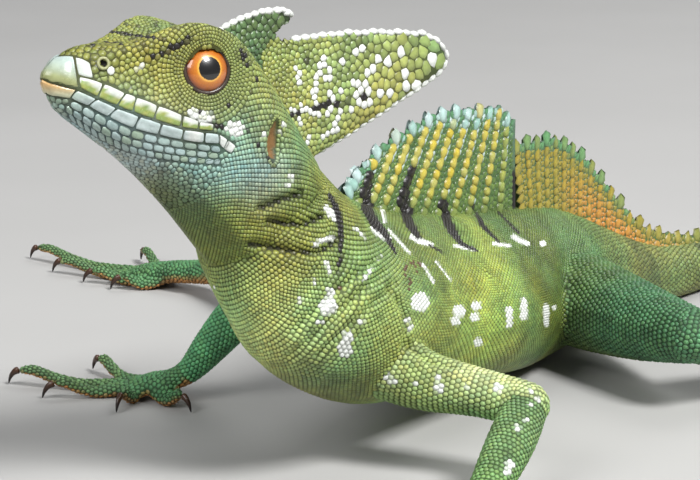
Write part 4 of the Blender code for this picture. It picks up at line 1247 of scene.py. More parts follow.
_, _, skin_area = random_on_skin(10)
places, ways, _ = random_on_skin(int(skin_area * FILL_TRIES * (1.0)))
older = kd_of(sites["place"])
gaps = np.array([older.find(Vector(p))[1:] for p in places])
room = gaps[:, 1] > 0.42 * (0.9 + sites["pitch"][gaps[:, 0].astype(int)])
places, ways = places[room], ways[room]
parts = parts_at(places)
pitches = pitch_at(places, parts)
older_pitch, gap = sites["pitch"][gaps[room, 0].astype(int)], gaps[room, 1]
room = gap > 0.45 * (pitches + older_pitch)
for side in EYE_SIDES.values():
    room &= length(places - eye_frame(side)[0]) >= SOCKET_RADIUS
places, ways, pitches, parts = places[room], ways[room], pitches[room], parts[room]
axes = np.tile(BACKWARD, (len(places), 1))
axes[parts == PART["head_crest_rear"]] = unit(BACKWARD * 0.92 + UPWARD * 0.4)
for name in TRUNK_NODES:
    axes[parts == PART[name]] = (0, 1, 0)
axes += rng.normal(0, 0.08, axes.shape)
filled = add_sites("fill", places, ways, axes, pitches, keep=0.86)
print("skin of", round(skin_area), "mm2,", filled, "scales filled in,", len(sites["place"]), "sites")

# %% Pushing the fill apart
RELAX_ROUNDS = 8
NEIGHBOURS = 9


def neighbours_of(tree, places, count):
    """For each place the numbers of the sites round it, nearest first, itself left out."""
    return np.array([[hit[1] for hit in tree.find_n(Vector(p), count + 1)[1:]] for p in places])


loose = np.flatnonzero(sites["kind"] == KIND["fill"])
for _ in range(RELAX_ROUNDS):
    around = neighbours_of(kd_of(sites["place"]), sites["place"][loose], NEIGHBOURS)
    gap = sites["place"][loose][:, None] - sites["place"][around]
    far = length(gap) + 1e-6
    wanted = 0.57 * (sites["pitch"][loose][:, None] + sites["pitch"][around])
    alike = (sites["way"][loose][:, None] * sites["way"][around]).sum(axis=2) > 0.2
    push = np.clip(wanted - far, 0, 0.5) * alike
    moved = sites["place"][loose] + 0.3 * (gap / far[..., None] * push[..., None]).sum(axis=1)
    sites["place"][loose], sites["way"][loose] = on_skin(moved)
print(RELAX_ROUNDS, "rounds of pushing")

# %% [markdown]
# Colour is painted on as a person would paint a cast: soft fields of ground colour first, some of
# them painted shade, then the white spots, the black bars with their white tips, the dark specks
# and painted shade along the neck folds. Each field is a soft ball round a place on the body. Skin
# and scales ask the same function, so their markings agree.
# %% The ground colours
# The throat and low chest colours are painted shade, darker where shade falls under the jaw and the chest.
# The back colour is the flank colour darkened, painted shade that tones down the light from above on the
# upper flanks.
PAINT = {
    "throat": (.095, .128, .034), "chest": (.60, .70, .26), "shaded low chest": (.13, .16, .045),
    "neck": (.15, .185, .036), "shoulder": (.25, .34, .11), "flank": (.32, .41, .085),
    "back": (.09, .135, .032), "low flank": (.15, .22, .065), "rump": (.10, .18, .06),
    "belly": (.30, .32, .12), "arm top": (.48, .53, .26), "arm low": (.15, .31, .085),
    "forearm": (.14, .24, .09), "far arm": (.058, .30, .13), "thigh": (.065, .17, .075),
    "shin": (.065, .16, .07), "foot": (.07, .19, .075), "toe": (.10, .18, .07), "tail": (.17, .20, .06),
    "tail band": (.06, .08, .03), "tail tip": (.12, .10, .045), "casque": (.32, .35, .11),
    "casque rear": (.20, .28, .10), "fin": (.075, .135, .055), "cheek": (.29, .36, .20),
    "ear skin": (.15, .24, .09), "jaw": (.31, .40, .40), "lore": (.25, .27, .06),
    "snout": (.115, .135, .028), "brow": (.185, .225, .065), "nape": (.19, .235, .065),
    "under eye": (.085, .115, .035), "white": (.70, .72, .68), "blue white": (.52, .62, .62),
    "black": (.012, .010, .009), "brown": (.10, .06, .03), "yellow": (.50, .40, .06),
    "orange": (.56, .24, .06), "olive": (.26, .23, .05), "crest blue": (.27, .44, .38),
    "peach": (.50, .32, .14), "eye ring": (.26, .30, .075), "nostril rim": (.30, .31, .15),
    "sole": (.36, .18, .06), "drum": (.20, .11, .04)}
# The throat and low chest fields lay painted shade under the jaw and the chest; the back fields lay painted
# shade against the light from above.
BODY_FIELDS = [
    ("throat", 215, 190, 12), ("neck", 228, 236, 11), ("neck", 238, 286, 12), ("chest", 262, 330, 13),
    ("neck", 290, 235, 13), ("neck", 330, 235, 11), ("nape", 330, 190, 8), ("shoulder", 350, 300, 16),
    ("back", 395, 245, 10), ("back", 450, 255, 12), ("flank", 480, 312, 14), ("back", 540, 250, 14),
    ("shoulder", 400, 300, 10), ("back", 350, 215, 8), ("low flank", 450, 350, 10),
    ("low flank", 520, 345, 10), ("shaded low chest", 322, 386, 9), ("shaded low chest", 290, 368, 7),
    ("rump", 590, 250, 13), ("rump", 640, 262, 14)]
# The throat fields on the head lay painted shade under the jaw.
HEAD_FIELDS = [
    ("throat", 205, 205, 6), ("neck", 232, 215, 6), ("neck", 262, 210, 6), ("neck", 285, 195, 5),
    ("jaw", 265, 178, 5), ("throat", 178, 185, 5), ("snout", 100, 48, 7), ("lore", 120, 76, 7),
    ("lore", 150, 84, 7), ("brow", 135, 28, 6), ("brow", 160, 30, 6), ("lore", 168, 62, 6),
    ("under eye", 215, 105, 6), ("under eye", 180, 95, 5), ("brow", 200, 35, 6), ("nape", 245, 38, 6),
    ("nape", 262, 75, 7), ("cheek", 230, 150, 7), ("ear skin", 262, 112, 7), ("cheek", 205, 152, 7),
    ("jaw", 150, 146, 7), ("jaw", 112, 128, 7), ("cheek", 252, 140, 6), ("jaw", 200, 165, 5),
    ("ear skin", 285, 130, 6), ("jaw", 235, 165, 5)]
CASQUE_FIELDS = [
    ("nape", 290, 60, 6), ("casque", 310, 75, 7), ("casque rear", 360, 55, 9), ("casque", 400, 60, 9),
    ("casque rear", 430, 50, 8), ("casque", 320, 130, 6), ("casque", 350, 115, 6)]
FIELD_GROUPS = {"body": BODY_FIELDS, "head": HEAD_FIELDS, "casque": CASQUE_FIELDS}
PART_PAINT = {"upper_arm": "arm top", "forearm": "forearm", "hand": "foot", "thigh": "thigh", "shin": "shin",
              "foot": "foot"}


# Solid, colour below, colour above, the height where one turns into the other, and over how much.
LEG_SHADES = [
    ("upper_arm_left", "arm low", "arm top", 14.5, 9), ("forearm_left", "arm low", "forearm", 4, 10),
    ("thigh_left", "belly", "thigh", 2, 7), ("thigh_right", "belly", "thigh", 2, 7)]


def group_of(parts):
    """0 body, 1 head, 2 casque, 3 front fin, 4 limbs, for numbers of parts."""
    names = np.zeros(len(FLESH), int)
    for name, number in PART.items():
        names[number] = {"head": 1, "head_crest_rear": 2, "head_crest_front": 3}.get(name, 0)
        if name in LIMB_NODES:
            names[number] = 4
    return names[parts]


def field_places(fields, head):
    laid = [(place, PAINT[name], reach) for name, x, y, reach in fields
            for place in both_sides(seen_at(seen_tree, [(x, y)]), head)]
    return [np.array(one) for one in zip(*laid)]


FIELDS_LAID = {name: field_places(fields, name != "body") for name, fields in FIELD_GROUPS.items()}


def blended(points, name):
    places, colours, reaches = FIELDS_LAID[name]
    far = length(points[:, None] - places[None])
    weight = np.exp(-np.minimum(far / reaches, 8) ** 2) + 1e-5 * np.exp(-far / 40)
    return (weight @ colours) / weight.sum(axis=1, keepdims=True)


def mix(a, b, share):
    """A blend of two colours, or of many, each given as numbers or by its name in PAINT."""
    a, b = (PAINT[one] if isinstance(one, str) else one for one in (a, b))
    share = np.asarray(share)[:, None] if np.ndim(share) else share
    return np.asarray(a) * (1 - share) + np.asarray(b) * share


def ground(points, ways, parts):
    """The colour of the bare ground at places on the body."""
    group = group_of(parts)
    colour = blended(points, "body")
    for number, name in ((1, "head"), (2, "casque")):
        mine = group == number
        if mine.any():
            colour[mine] = blended(points[mine], name)
    colour[group == 3] = PAINT["fin"]
    _, y, z = points.T
    body = group == 0
    low = np.clip((9 - z) / 7, 0, 1) * body
    colour = mix(colour, "belly", 0.8 * low)
    behind = np.clip((y - 108) / 25, 0, 1) * body
    colour = mix(colour, "tail", behind)
    band = np.clip(4 * np.sin(y / 5.2 + 0.6 * np.sin(y / 17)) - 1.2, 0, 1) * np.clip((y - 118) / 25, 0, 1)
    colour = mix(colour, "tail band", 0.75 * band * body)
    colour = mix(colour, "tail tip", np.clip((y - 380) / 180, 0, 0.7) * body)
    for piece, name in PART_PAINT.items():
        for flank in ("left", "right"):
            mine = parts == PART[piece + "_" + flank]
            colour[mine] = PAINT[name]
    return limb_shades(points, ways, parts, colour)


def limb_shades(points, ways, parts, colour):
    z = points[:, 2]
    trunk = blended(points, "body")
    for node, low, high, height, span in LEG_SHADES:
        mine = parts == PART[node]
        colour[mine] = mix(low, high, np.clip((z[mine] - height) / span, 0, 1))
    colour[on_part(parts, "upper_arm_right", "forearm_right")] = mix("far arm", "forearm", 0.35)
    for sole in SOLES:
        mine = np.flatnonzero(parts == PART[sole])
        far = length(points[mine] - np.array(LIMBS[SOLES[sole][0]][7][0:3]))
        reach = 16 if sole.startswith("hand") else 30
        colour[mine] = mix(colour[mine], "toe", np.clip((far - 0.4 * reach) / reach, 0, 0.85))
        under = np.clip(-ways[mine, 2] * 1.6 - 0.1, 0, 1)
        colour[mine] = mix(colour[mine], "sole", under)
    limb = group_of(parts) == 4
    near = np.zeros(len(points))
    for name, rows in LIMBS.items():
        far = length(points - np.array(rows[1][:3]))
        start = 6 if name.startswith("arm") else 11
        near = np.maximum(near, limb * np.clip(1 - (far - start) / (1.1 * start), 0, 1))
    return mix(colour, trunk, near * 0.8)


print(sum(len(f[0]) for f in FIELDS_LAID.values()), "fields of ground colour")

# %% The markings
WHITE_SPOTS = [
    (328, 306, 9), (330, 293, 5), (345, 349, 7.5), (348, 337, 6), (419.7, 302, 9.5), (407.5, 320, 3.6),
    (409.5, 328, 3.6), (459, 311, 6.5), (455, 321, 5), (476, 306, 5), (474.5, 317, 4.5), (545.8, 313, 3.4),
    (553.7, 307.5, 2.2), (477.8, 342, 4.5), (542.5, 243.8, 3.2), (523.5, 306, 3.4), (509, 314, 3.4),
    (320, 322, 3), (362, 322, 2.6), (300, 300, 2.6), (314, 282, 2.4)]
ARM_SPOTS = [
    (387, 376, 4), (393, 381, 4), (438.7, 387.8, 5.5), (438.7, 377.8, 4), (497.9, 387.8, 5),
    (531, 391, 2.6), (538, 399, 2.6), (530, 404, 2.2), (517.5, 428.2, 3.5), (526, 419.8, 2.2),
    (510.5, 464, 4.5), (508, 472, 4), (414, 383, 2.4), (466, 386, 2.4)]
WHITE_STREAKS = [
    [(422, 264, 1.5), (433, 281.8, 1.5)], [(372.9, 228, 3), (380, 234, 4), (388.5, 239.4, 3.4)],
    [(388.5, 230.4, 1.4), (408.6, 252.8, 1.4)], [(410.8, 237, 2.4), (421, 242, 3.2), (430.9, 245, 2.4)],
    [(455.4, 246, 2), (473.3, 249.4, 2)], [(493.4, 243.8, 1.8), (509, 246, 1.8)],
    [(513.5, 237, 2.6), (520, 241, 2.4), (526.9, 243.8, 2.4)],
    [(326, 208, 3), (331, 214, 3.8), (337, 219.3, 3)], [(326, 261.7, 2.2), (329.3, 272.9, 2.2)],
    [(332.7, 237, 3.2), (322, 241, 2.6), (314.8, 243.8, 2.4)], [(355, 228, 1.5), (364, 237, 1.5)],
    [(364, 279.6, 1.6), (372, 268, 1.6)], [(376, 262, 1.4), (381.8, 257.2, 1.4)],
    [(509, 310, 3.6), (509, 325, 3.2)], [(523.5, 301, 3.2), (523.5, 316, 4)],
    [(545.8, 307, 3), (545.8, 324, 2.6)], [(380, 200, 1.6), (384, 222, 1.8)],
    [(436, 262, 1.2), (450, 280, 1.2)]]
BLACK_BARS = [
    [(370.6, 174, 3.5), (365.5, 192, 5.6), (366.5, 208, 5.8), (373, 222, 5), (384, 233, 3.6),
     (395, 253, 1.4)],
    [(415, 165, 2.2), (404.5, 190, 4.6), (404, 206, 5.4), (409, 224, 4.8), (418, 237, 2.8)],
    [(443, 202, 4.2), (445, 216, 5.4), (451, 230, 4.6), (461, 244, 2.4), (477, 251, 1.5)],
    [(472.2, 206, 1.6), (482.2, 226, 2.4), (497.9, 241.6, 1.4)], [(497.9, 212.6, 1.2), (517.9, 232.7, 1.6)],
    [(514, 170, 2.4), (515, 188, 4), (514, 205.9, 2.6)],
    [(329.3, 194.7, 2.4), (338, 214, 3.6), (340.5, 236, 2.6), (340.5, 255, 1.8), (337, 275, 1.4)],
    [(430, 246, 1.3), (441, 252, 1.3)]]
HEAD_WHITE = [
    (279, 131, 2.4), (283, 125, 2.2), (194, 113.5, 5.2), (203, 116.5, 6), (209, 118, 5), (231, 127, 6),
    (238, 129, 6), (236, 134, 5), (139.5, 67.5, 3.6), (264, 136, 2.6), (273, 142, 2.6), (291, 178, 3),
    (288, 184, 2.6), (97, 61, 2), (98, 69, 2.2), (111, 69, 2.4), (130, 88, 2), (268, 60, 1.8)]
HEAD_DARK = [
    (241, 50, 3.4), (244, 57, 4), (247, 64, 3.4), (216, 121.5, 2), (256, 80, 2), (228, 104, 3),
    (116, 35, 2.2), (128, 33, 2.2), (200, 112, 1.6), (92, 45, 2), (104, 50, 2), (120, 44, 2), (136, 22, 2),
    (150, 30, 2.2), (163, 27, 2)]
CASQUE_WHITE = [
    (359, 50, 5.0), (338, 61, 4), (325, 62, 3), (321, 68.5, 3), (329, 73, 3), (326, 79, 3.4),
    (317, 82, 3.4), (315, 90, 2.6), (298, 72, 2.6), (298, 79, 2.2), (376, 62, 4.4), (388, 62, 4),
    (370, 68, 4), (404, 55, 4.6), (401, 69, 4.4), (402, 73, 3.6), (414, 70, 3.4), (431, 54, 4),
    (357, 84, 3.6), (367, 86, 3.6), (358, 91, 3.4), (341, 92, 3), (330, 95, 3.4), (316, 99, 3.4),
    (307, 108, 3), (302, 107, 2.6), (292, 110, 2.6), (318, 114, 3.2), (329, 112, 3.2), (340, 113, 3.4),
    (352, 110, 4), (362, 104, 4), (369, 101, 3), (300, 120, 2.8), (295, 128, 2.8), (336, 125, 3),
    (334, 132, 3.4), (326, 134, 2.4), (308, 138, 3.6), (416, 82, 3.4), (405, 83, 3), (388, 92, 3),
    (380, 96, 3)]
CASQUE_BLACK = [
    [(289, 117, 2.2), (302, 112, 3)], [(313, 108, 2.8), (328, 104, 3.4)], [(336, 104, 2), (350, 102, 2)],
    [(356, 99, 1.4), (371, 95, 1.2)], [(301, 145, 1.8), (311, 146, 1.4)], [(305, 62, 1.6), (315, 57, 1.4)]]
SPECK_FIELDS = [(412, 270, 11), (405, 285, 7), (340, 285, 5)]
HEAD_LINES = [
    [(204, 123, 1.4), (214, 125, 1.9), (222, 127, 1.6)],
    [(246, 128, 1.0), (262, 150, 1.0), (276, 168, 1.0)],
    [(151, 58, 1.8), (161, 53, 2.7), (175, 46, 2.9), (190, 37.5, 2.2)],
    [(118, 38, 1.6), (134, 34, 1.8), (152, 38, 1.8), (168, 42, 1.5)]]
MARK_REACH = 9.0
VIVIDNESS = 1.06
SCALE_VARIETY, PATCH_VARIETY, SPECK_SHARE = 0.44, 0.35, 0.22


def near_side(points, head):
    """Points of the far side moved to the same place on the side that the camera sees."""
    far = head_place(points)[:, 1] < 0 if head else points[:, 0] < 0
    twins = across_head(points) if head else across_body(points)
    return np.where(far[:, None], twins, points)


def dense(line):
    """A drawn line of x, y and half width as close-set pixels."""
    line = np.array(line, float)
    if len(line) == 1:
        return line
    steps = travel_along(line[:, :2])
    marks = np.linspace(0, steps[-1], max(2, int(steps[-1] / TRACE_STEP)))
    return np.stack([np.interp(marks, steps, line[:, k]) for k in range(3)], axis=1)


def gather(spots, lines):
    """Each mark as its pixels, with its half width at each, and where it lies on the body."""
    marks = []
    for line in [[spot] for spot in spots] + list(lines):
        spread = dense(line)
        cloud = seen_at(seen_tree, spread[:, :2])
        if len(cloud):
            marks.append((spread, cloud))
    return marks


WHITE_MARKS = gather(WHITE_SPOTS, WHITE_STREAKS)
ARM_MARKS = gather(ARM_SPOTS, [])
BLACK_MARKS = gather([], BLACK_BARS)
HEAD_WHITE_MARKS = gather(HEAD_WHITE, [])
HEAD_DARK_MARKS = gather(HEAD_DARK, HEAD_LINES)
CASQUE_BLACK_MARKS = gather([], CASQUE_BLACK)
SPECK_MARKS = gather(SPECK_FIELDS, [])
# The neck folds are painted dark along their lines, as painted shade in the creases.
FOLD_SHADE_MARKS = gather([], [[(*pixel, 2.1) for pixel in line] for line in FOLDS_IN_PICTURE[:NECK_FOLDS]])


def covered(points, marks, head=False, edge=0.6):
    """How far inside one of the marks each point is, from 0 outside to 1 within."""
    points = near_side(points, head)
    pixels = picture_of(points)
    inside = np.zeros(len(points))
    for spread, cloud in marks:
        low, high = spread.min(axis=0)[:2] - 9, spread.max(axis=0)[:2] + 9
        near = np.flatnonzero(((pixels > low) & (pixels < high)).all(axis=1))
        if len(near):
            gap = np.sqrt(((pixels[near][:, None] - spread[None, :, :2]) ** 2).sum(axis=2))
            gap = gap - spread[None, :, 2]
            depth = np.sqrt(((points[near][:, None] - cloud[None]) ** 2).sum(axis=2)).min(axis=1)
            share = np.clip((edge - gap.min(axis=1)) / (2 * edge), 0, 1) * (depth < MARK_REACH)
            inside[near] = np.maximum(inside[near], share)
    return inside


def mottle(points, size, seed):
    """A soft random pattern over the body, about -0.7 to 0.7, whose patches are size mm wide."""
    return np.array([noise.noise(Vector((x, y, z + seed)) / size) for x, y, z in points.tolist()])


def vivid(colour):
    """Deeper colour, which studio light and film then soften again."""
    grey = colour.mean(axis=-1, keepdims=True)
    return np.clip(grey + VIVIDNESS * (colour - grey), 0.002, 0.95)


def painted(points, ways, parts, chance):
    """The whole paint at places on the body; chance holds three random numbers for each place."""
    colour = ground(points, ways, parts)
    group = group_of(parts)
    light = 1 + SCALE_VARIETY * (chance[:, 0] - 0.5) + PATCH_VARIETY * mottle(points, 4.5, 7.0)
    colour = colour * light[:, None]
    warm = np.clip(1.6 * mottle(points, 13.0, 90.0), -1, 1)[:, None] * (group < 4)[:, None]
    colour = colour * (1 + warm * (0.22, 0.02, -0.12))
    colour = mix(colour, colour * (1.25, 1.0, 0.75), np.clip(chance[:, 1] - 0.6, 0, 1))
    colour = mix(colour, colour * (0.72, 0.95, 1.15), np.clip(0.35 - chance[:, 1], 0, 1))
    body, head, casque = group == 0, group == 1, (group == 2) | (group == 3)
    specks = body & (covered(points, SPECK_MARKS) > 0) & (chance[:, 2] < SPECK_SHARE)
    colour[specks] = PAINT["brown"]
    back, _, up = head_place(points).T
    dark = head & (chance[:, 2] < 0.04 + 0.08 * (up > 10) * (back < 45)) & (up > 3)
    colour[dark] = mix(colour[dark], "black", 0.65)
    arm = on_part(parts, "upper_arm_left", "forearm_left")
    white = (covered(points, WHITE_MARKS) * body + covered(points, ARM_MARKS) * arm
             + covered(points, HEAD_WHITE_MARKS, True) * (head | (parts == PART["neck"])))
    colour = mix(colour, np.array(PAINT["white"]) * (0.9 + 0.1 * chance[:, 0:1]), np.clip(white, 0, 1))
    black = (covered(points, BLACK_MARKS) * body + covered(points, HEAD_DARK_MARKS, True) * (head | casque)
             + covered(points, CASQUE_BLACK_MARKS, True) * casque)
    # Along the neck folds the colour is darkened towards black: painted shade in the creases.
    fold = covered(points, FOLD_SHADE_MARKS, True, 1.0)
    return vivid(mix(colour, "black", np.clip(black + 0.9 * fold, 0, 1)))


print(len(WHITE_MARKS + BLACK_MARKS + HEAD_WHITE_MARKS + HEAD_DARK_MARKS + CASQUE_BLACK_MARKS), "marks")

# %% [markdown]
# A scale is a small shingle. Its outline is the space it shares fairly with its neighbours: half
# way to each of them, as cells in a foam share space. Its rim is sunk in the skin, a shoulder ring
# rises near the rim, and the middle is raised, with a keel where the real scale has one.
# %% One mesh from many scales
OUTLINE_NEIGHBOURS = 13
RIM_SINK = 0.09
PATCH = 0.0015
REACH_LIMIT = 0.95
# A scale's rim is painted darker, partly the dark edge real scales have and partly painted shade in the
# groove; its top is painted lighter, a painted highlight.
SHOULDER_SHADE, TOP_HIGHLIGHT = 0.93, 1.15


def paler(tints):
    """What is added to the shade of a rim or groove where the paint is nearly white."""
    return 0.45 * np.clip(tints.min(axis=1, keepdims=True) / 0.3 - 1, 0, 1)


def scale_shapes(places, ways, axes, pitches, sides):
    """For each site its two directions along the skin, and the outline's reach and sag."""
    axes = unit(axes - ways * (axes * ways).sum(axis=1, keepdims=True))
    lefts = np.cross(ways, axes)
    around = neighbours_of(kd_of(places), places, OUTLINE_NEIGHBOURS)
    gap = places[around] - places[:, None]
    ahead, across = (gap * axes[:, None]).sum(axis=2), (gap * lefts[:, None]).sum(axis=2)
    rise = (gap * ways[:, None]).sum(axis=2)
    flat = np.hypot(ahead, across) + 1e-6
    alike = (ways[around] * ways[:, None]).sum(axis=2) > 0.15
    half = (flat + (pitches[:, None] ** 2 - pitches[around] ** 2) / 4 / flat) / 2
    half = np.where(alike & (flat > 0.1), np.maximum(half, 0.12 * flat), np.inf)
    turns = turns_of(sides)
    cosine = (ahead[:, :, None] * np.cos(turns) + across[:, :, None] * np.sin(turns)) / flat[:, :, None]
    with np.errstate(divide="ignore", invalid="ignore"):
        reach = np.where(cosine > 0.06, half[:, :, None] / cosine, np.inf)
    nearest = reach.argmin(axis=1)
    reach = reach.min(axis=1)
    rise = np.take_along_axis(rise, nearest, axis=1)
    flat = np.take_along_axis(flat, nearest, axis=1)
    capped = np.minimum(reach, REACH_LIMIT * pitches[:, None])
    sag = 0.25 * rise * (capped / (flat / 2)) ** 2
    return axes, lefts, turns, capped, np.clip(sag, -0.5, 0.25)


def scale_mesh(name, places, ways, axes, pitches, tints, flat_places, sides=6, raised=0.16, keel=0.03,
               shingle=0.06, shrink=(0.98, 1.0), rim_shade=0.4, shoulder_at=0.8, chosen=None):
    """One joined mesh of a scale at each chosen site, with its tints and its map for baking."""
    axes, lefts, turns, reach, sag = scale_shapes(places, ways, axes, pitches, sides)
    chosen = np.arange(len(places)) if chosen is None else np.flatnonzero(chosen)
    places, ways, axes, lefts = places[chosen], ways[chosen], axes[chosen], lefts[chosen]
    reach, sag, tints, flat_places = reach[chosen], sag[chosen], tints[chosen], flat_places[chosen]
    raised = np.broadcast_to(raised, len(pitches))[chosen][:, None]
    count = len(chosen)
    along_it, across_it = np.cos(turns), np.sin(turns)
    squeeze = np.sqrt((along_it * shrink[0]) ** 2 + (across_it * shrink[1]) ** 2)
    reach = reach * squeeze

    def ring(share, height):
        out = axes[:, None] * (reach * share * along_it)[..., None]
        out = out + lefts[:, None] * (reach * share * across_it)[..., None]
        return places[:, None] + out + ways[:, None] * height[..., None]

    on_keel = np.abs(along_it) ** 4
    rim = ring(1.0, sag - RIM_SINK + shingle * np.maximum(along_it, 0))
    shoulder = ring(shoulder_at, shoulder_at ** 2 * sag + raised * 0.9 * shoulder_at + keel * on_keel
                    + shingle * 1.3 * along_it)
    middle = places + ways * (raised + keel)
    points = np.concatenate([rim, shoulder, middle[:, None]], axis=1)
    points[..., 2] = np.maximum(points[..., 2], 0)
    per = 2 * sides + 1
    base = (np.arange(count) * per)[:, None, None]
    k = np.arange(sides)
    after = (k + 1) % sides
    top = np.full(sides, 2 * sides)
    faces = np.concatenate([np.stack(corners, 1) for corners in (
        (k, after, after + sides), (k, after + sides, k + sides), (k + sides, after + sides, top))])
    made = mesh_from(name, points.reshape(-1, 3), (base + faces).reshape(-1, 3))
    # Each point takes the tint times its ring's factor: a darker rim, partly painted shade, and a painted
    # highlight on the top.
    shades = np.tile(np.concatenate([np.full(sides, rim_shade), np.full(sides, SHOULDER_SHADE), [TOP_HIGHLIGHT]]),
                     (count, 1))
    shades[:, :sides] += paler(tints)
    colours = np.clip(tints[:, None] * shades[..., None], 0, 1)
    paint_points(made, colours.reshape(-1, 3))
    circle = np.stack([along_it, across_it], 1)
    spread = np.concatenate([circle, 0.8 * circle, [[0, 0]]])
    flat_map(made, (flat_places[:, None] + PATCH * spread[None]).reshape(-1, 2))
    return made


def paint_points(target, colours):
    layer = target.data.color_attributes.new("tint", "FLOAT_COLOR", "POINT")
    layer.data.foreach_set("color", np.column_stack([colours, np.ones(len(colours))]).ravel())


def flat_map(target, places):
    """The map that the colours are baked through, given per point."""
    corners = read(target.data.loops, "vertex_index", 1, int)[:, 0]
    layer = target.data.uv_layers.new(name="OFBake")
    layer.data.foreach_set("uv", places[corners].ravel())


def unwrapped(points, line, ups):
    """Each point's way along a middle line and round it, both from 0 to 1."""
    tree = kd_of(line)
    nearest = np.array([tree.find(Vector(p))[1] for p in points])
    ahead = unit(np.gradient(line, axis=0))[nearest]
    up = ups[nearest] - ahead * (ups[nearest] * ahead).sum(axis=1, keepdims=True)
    side = np.cross(ahead, unit(up))
    gap = points - line[nearest]
    angle = np.arctan2((gap * side).sum(axis=1), (gap * unit(up)).sum(axis=1))
    travel = nearest + (gap * ahead).sum(axis=1) / length(np.gradient(line, axis=0))[nearest]
    travel = (travel - travel.min()) / (np.ptp(travel) + 1e-9)
    return 0.01 + 0.98 * np.stack([travel, angle / (2 * math.pi) + 0.5], axis=1)


def unwrapped_fin(points):
    """A fin's two faces side by side, each seen square to the head's middle plane."""
    placed = head_place(points)
    back = (placed[:, 0] - placed[:, 0].min()) / np.ptp(placed[:, 0])
    up = (placed[:, 2] - placed[:, 2].min()) / np.ptp(placed[:, 2])
    return np.stack([0.01 + 0.48 * back + 0.5 * (placed[:, 1] > 0), 0.01 + 0.98 * up], axis=1)


print("a scale's patch on its map is", PATCH, "wide")

# %% Painting the skin and the sites
GROOVE_SHADE = 0.3
WHITE_REACH = 1.3
NOSTRIL_BLACK = 0.85
rng = np.random.default_rng(11)
site_parts = parts_at(sites["place"])
chance = rng.random((len(sites["place"]), 3))
tints = painted(sites["place"], sites["way"], site_parts, chance)
lid = (sites["kind"] == KIND["lid"]) & (tints.max(axis=1) > 0.03)
tints[lid] = mix(tints[lid], "eye ring", 0.35)

tiles = np.flatnonzero((group_of(site_parts) == 2) & (sites["kind"] != KIND["ghost"]))
tile_tree = kd_of(sites["place"][tiles])
for place in both_sides(seen_at(seen_tree, [pixel[:2] for pixel in CASQUE_WHITE]), True):
    for _, near, far in tile_tree.find_n(Vector(place), 2):
        if far < WHITE_REACH:
            tints[tiles[near]] = PAINT["white"]

skin_places = points_of(skin)
skin_parts = parts_at(skin_places)
skin_tints = painted(skin_places, normals_of(skin), skin_parts, np.full((len(skin_places), 3), 0.5))
# The skin between the scales is darkened, partly its own darker colour and partly painted shade in the
# grooves, less so under white paint.
skin_tints *= GROOVE_SHADE + paler(skin_tints)
for side in EYE_SIDES.values():
    centre, out, back, top = ear_frame(side)
    gap = skin_places - centre
    drum = ((gap @ back) / EAR_WIDE) ** 2 + ((gap @ top) / EAR_TALL) ** 2 + ((gap @ out) / 4) ** 2 < 1
    skin_tints[drum] = PAINT["drum"]
# The skin in each nostril's pit is painted black, painted shade that stands for the deep opening.
skin_tints[length(skin_places[:, None] - nostrils[None]).min(axis=1) < NOSTRIL_BLACK] = PAINT["black"]
paint_points(skin, skin_tints)
print(len(tints), "scales and", len(skin_places), "places of skin painted")

# %% The scales of head, trunk, tail and legs
RAISED = {"body": 0.17, "limb": 0.2, "head": 0.14, "casque": 0.13, "front fin": 0.15}
TRUNK_LINE_PLACES = np.arange(0, len(BODY_ROWS) - 1.01, 0.05)
trunk_line, _, trunk_rise = body_frames(TRUNK_LINE_PLACES, BODY_ROWS)
head_line = np.array([in_head(back, 0, 6 - 0.18 * back) for back in np.linspace(-4, 76, 60)])
site_group = group_of(site_parts)
real = sites["kind"] != KIND["ghost"]
left_half = sites["place"][:, 0] > 0
raises = np.full(len(real), RAISED["body"])
raises[(sites["kind"] == KIND["limb"]) | (sites["kind"] == KIND["shield"])] = RAISED["limb"]
for number, name in ((1, "head"), (2, "casque"), (3, "front fin")):
    raises[site_group == number] = RAISED[name]
raises[site_group == 2] += 0.03 * np.clip(sites["pitch"][site_group == 2] - 1, 0, 2)
on_neck, on_torso = site_parts == PART["neck"], site_parts == PART["torso"]
BODY_COATS = {"scales_neck_left": on_neck & left_half, "scales_neck_right": on_neck & ~left_half,
              "scales_trunk_left": on_torso & left_half, "scales_trunk_right": on_torso & ~left_half,
              "scales_tail_front": on_part(site_parts, *TRUNK_NODES[2:4]),
              "scales_tail_rear": on_part(site_parts, *TRUNK_NODES[4:])}


def scale_piece(name, chosen, flat_places, slot, **shape):
    """The scales at the chosen sites, with the sites near them as neighbours."""
    low, high = sites["place"][chosen].min(axis=0) - 4, sites["place"][chosen].max(axis=0) + 4
    near = ((sites["place"] > low) & (sites["place"] < high)).all(axis=1)
    pick = chosen[near]
    flat = np.zeros((near.sum(), 2))
    flat[pick] = flat_places
    laid = [sites[key][near] for key in ("place", "way", "axis", "pitch")]
    made = scale_mesh(name, *laid, tints[near], flat, raised=raises[near], chosen=pick, **shape)
    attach(made, "root")
    print(name, pick.sum(), "scales,", len(made.data.polygons), "triangles")
    return made


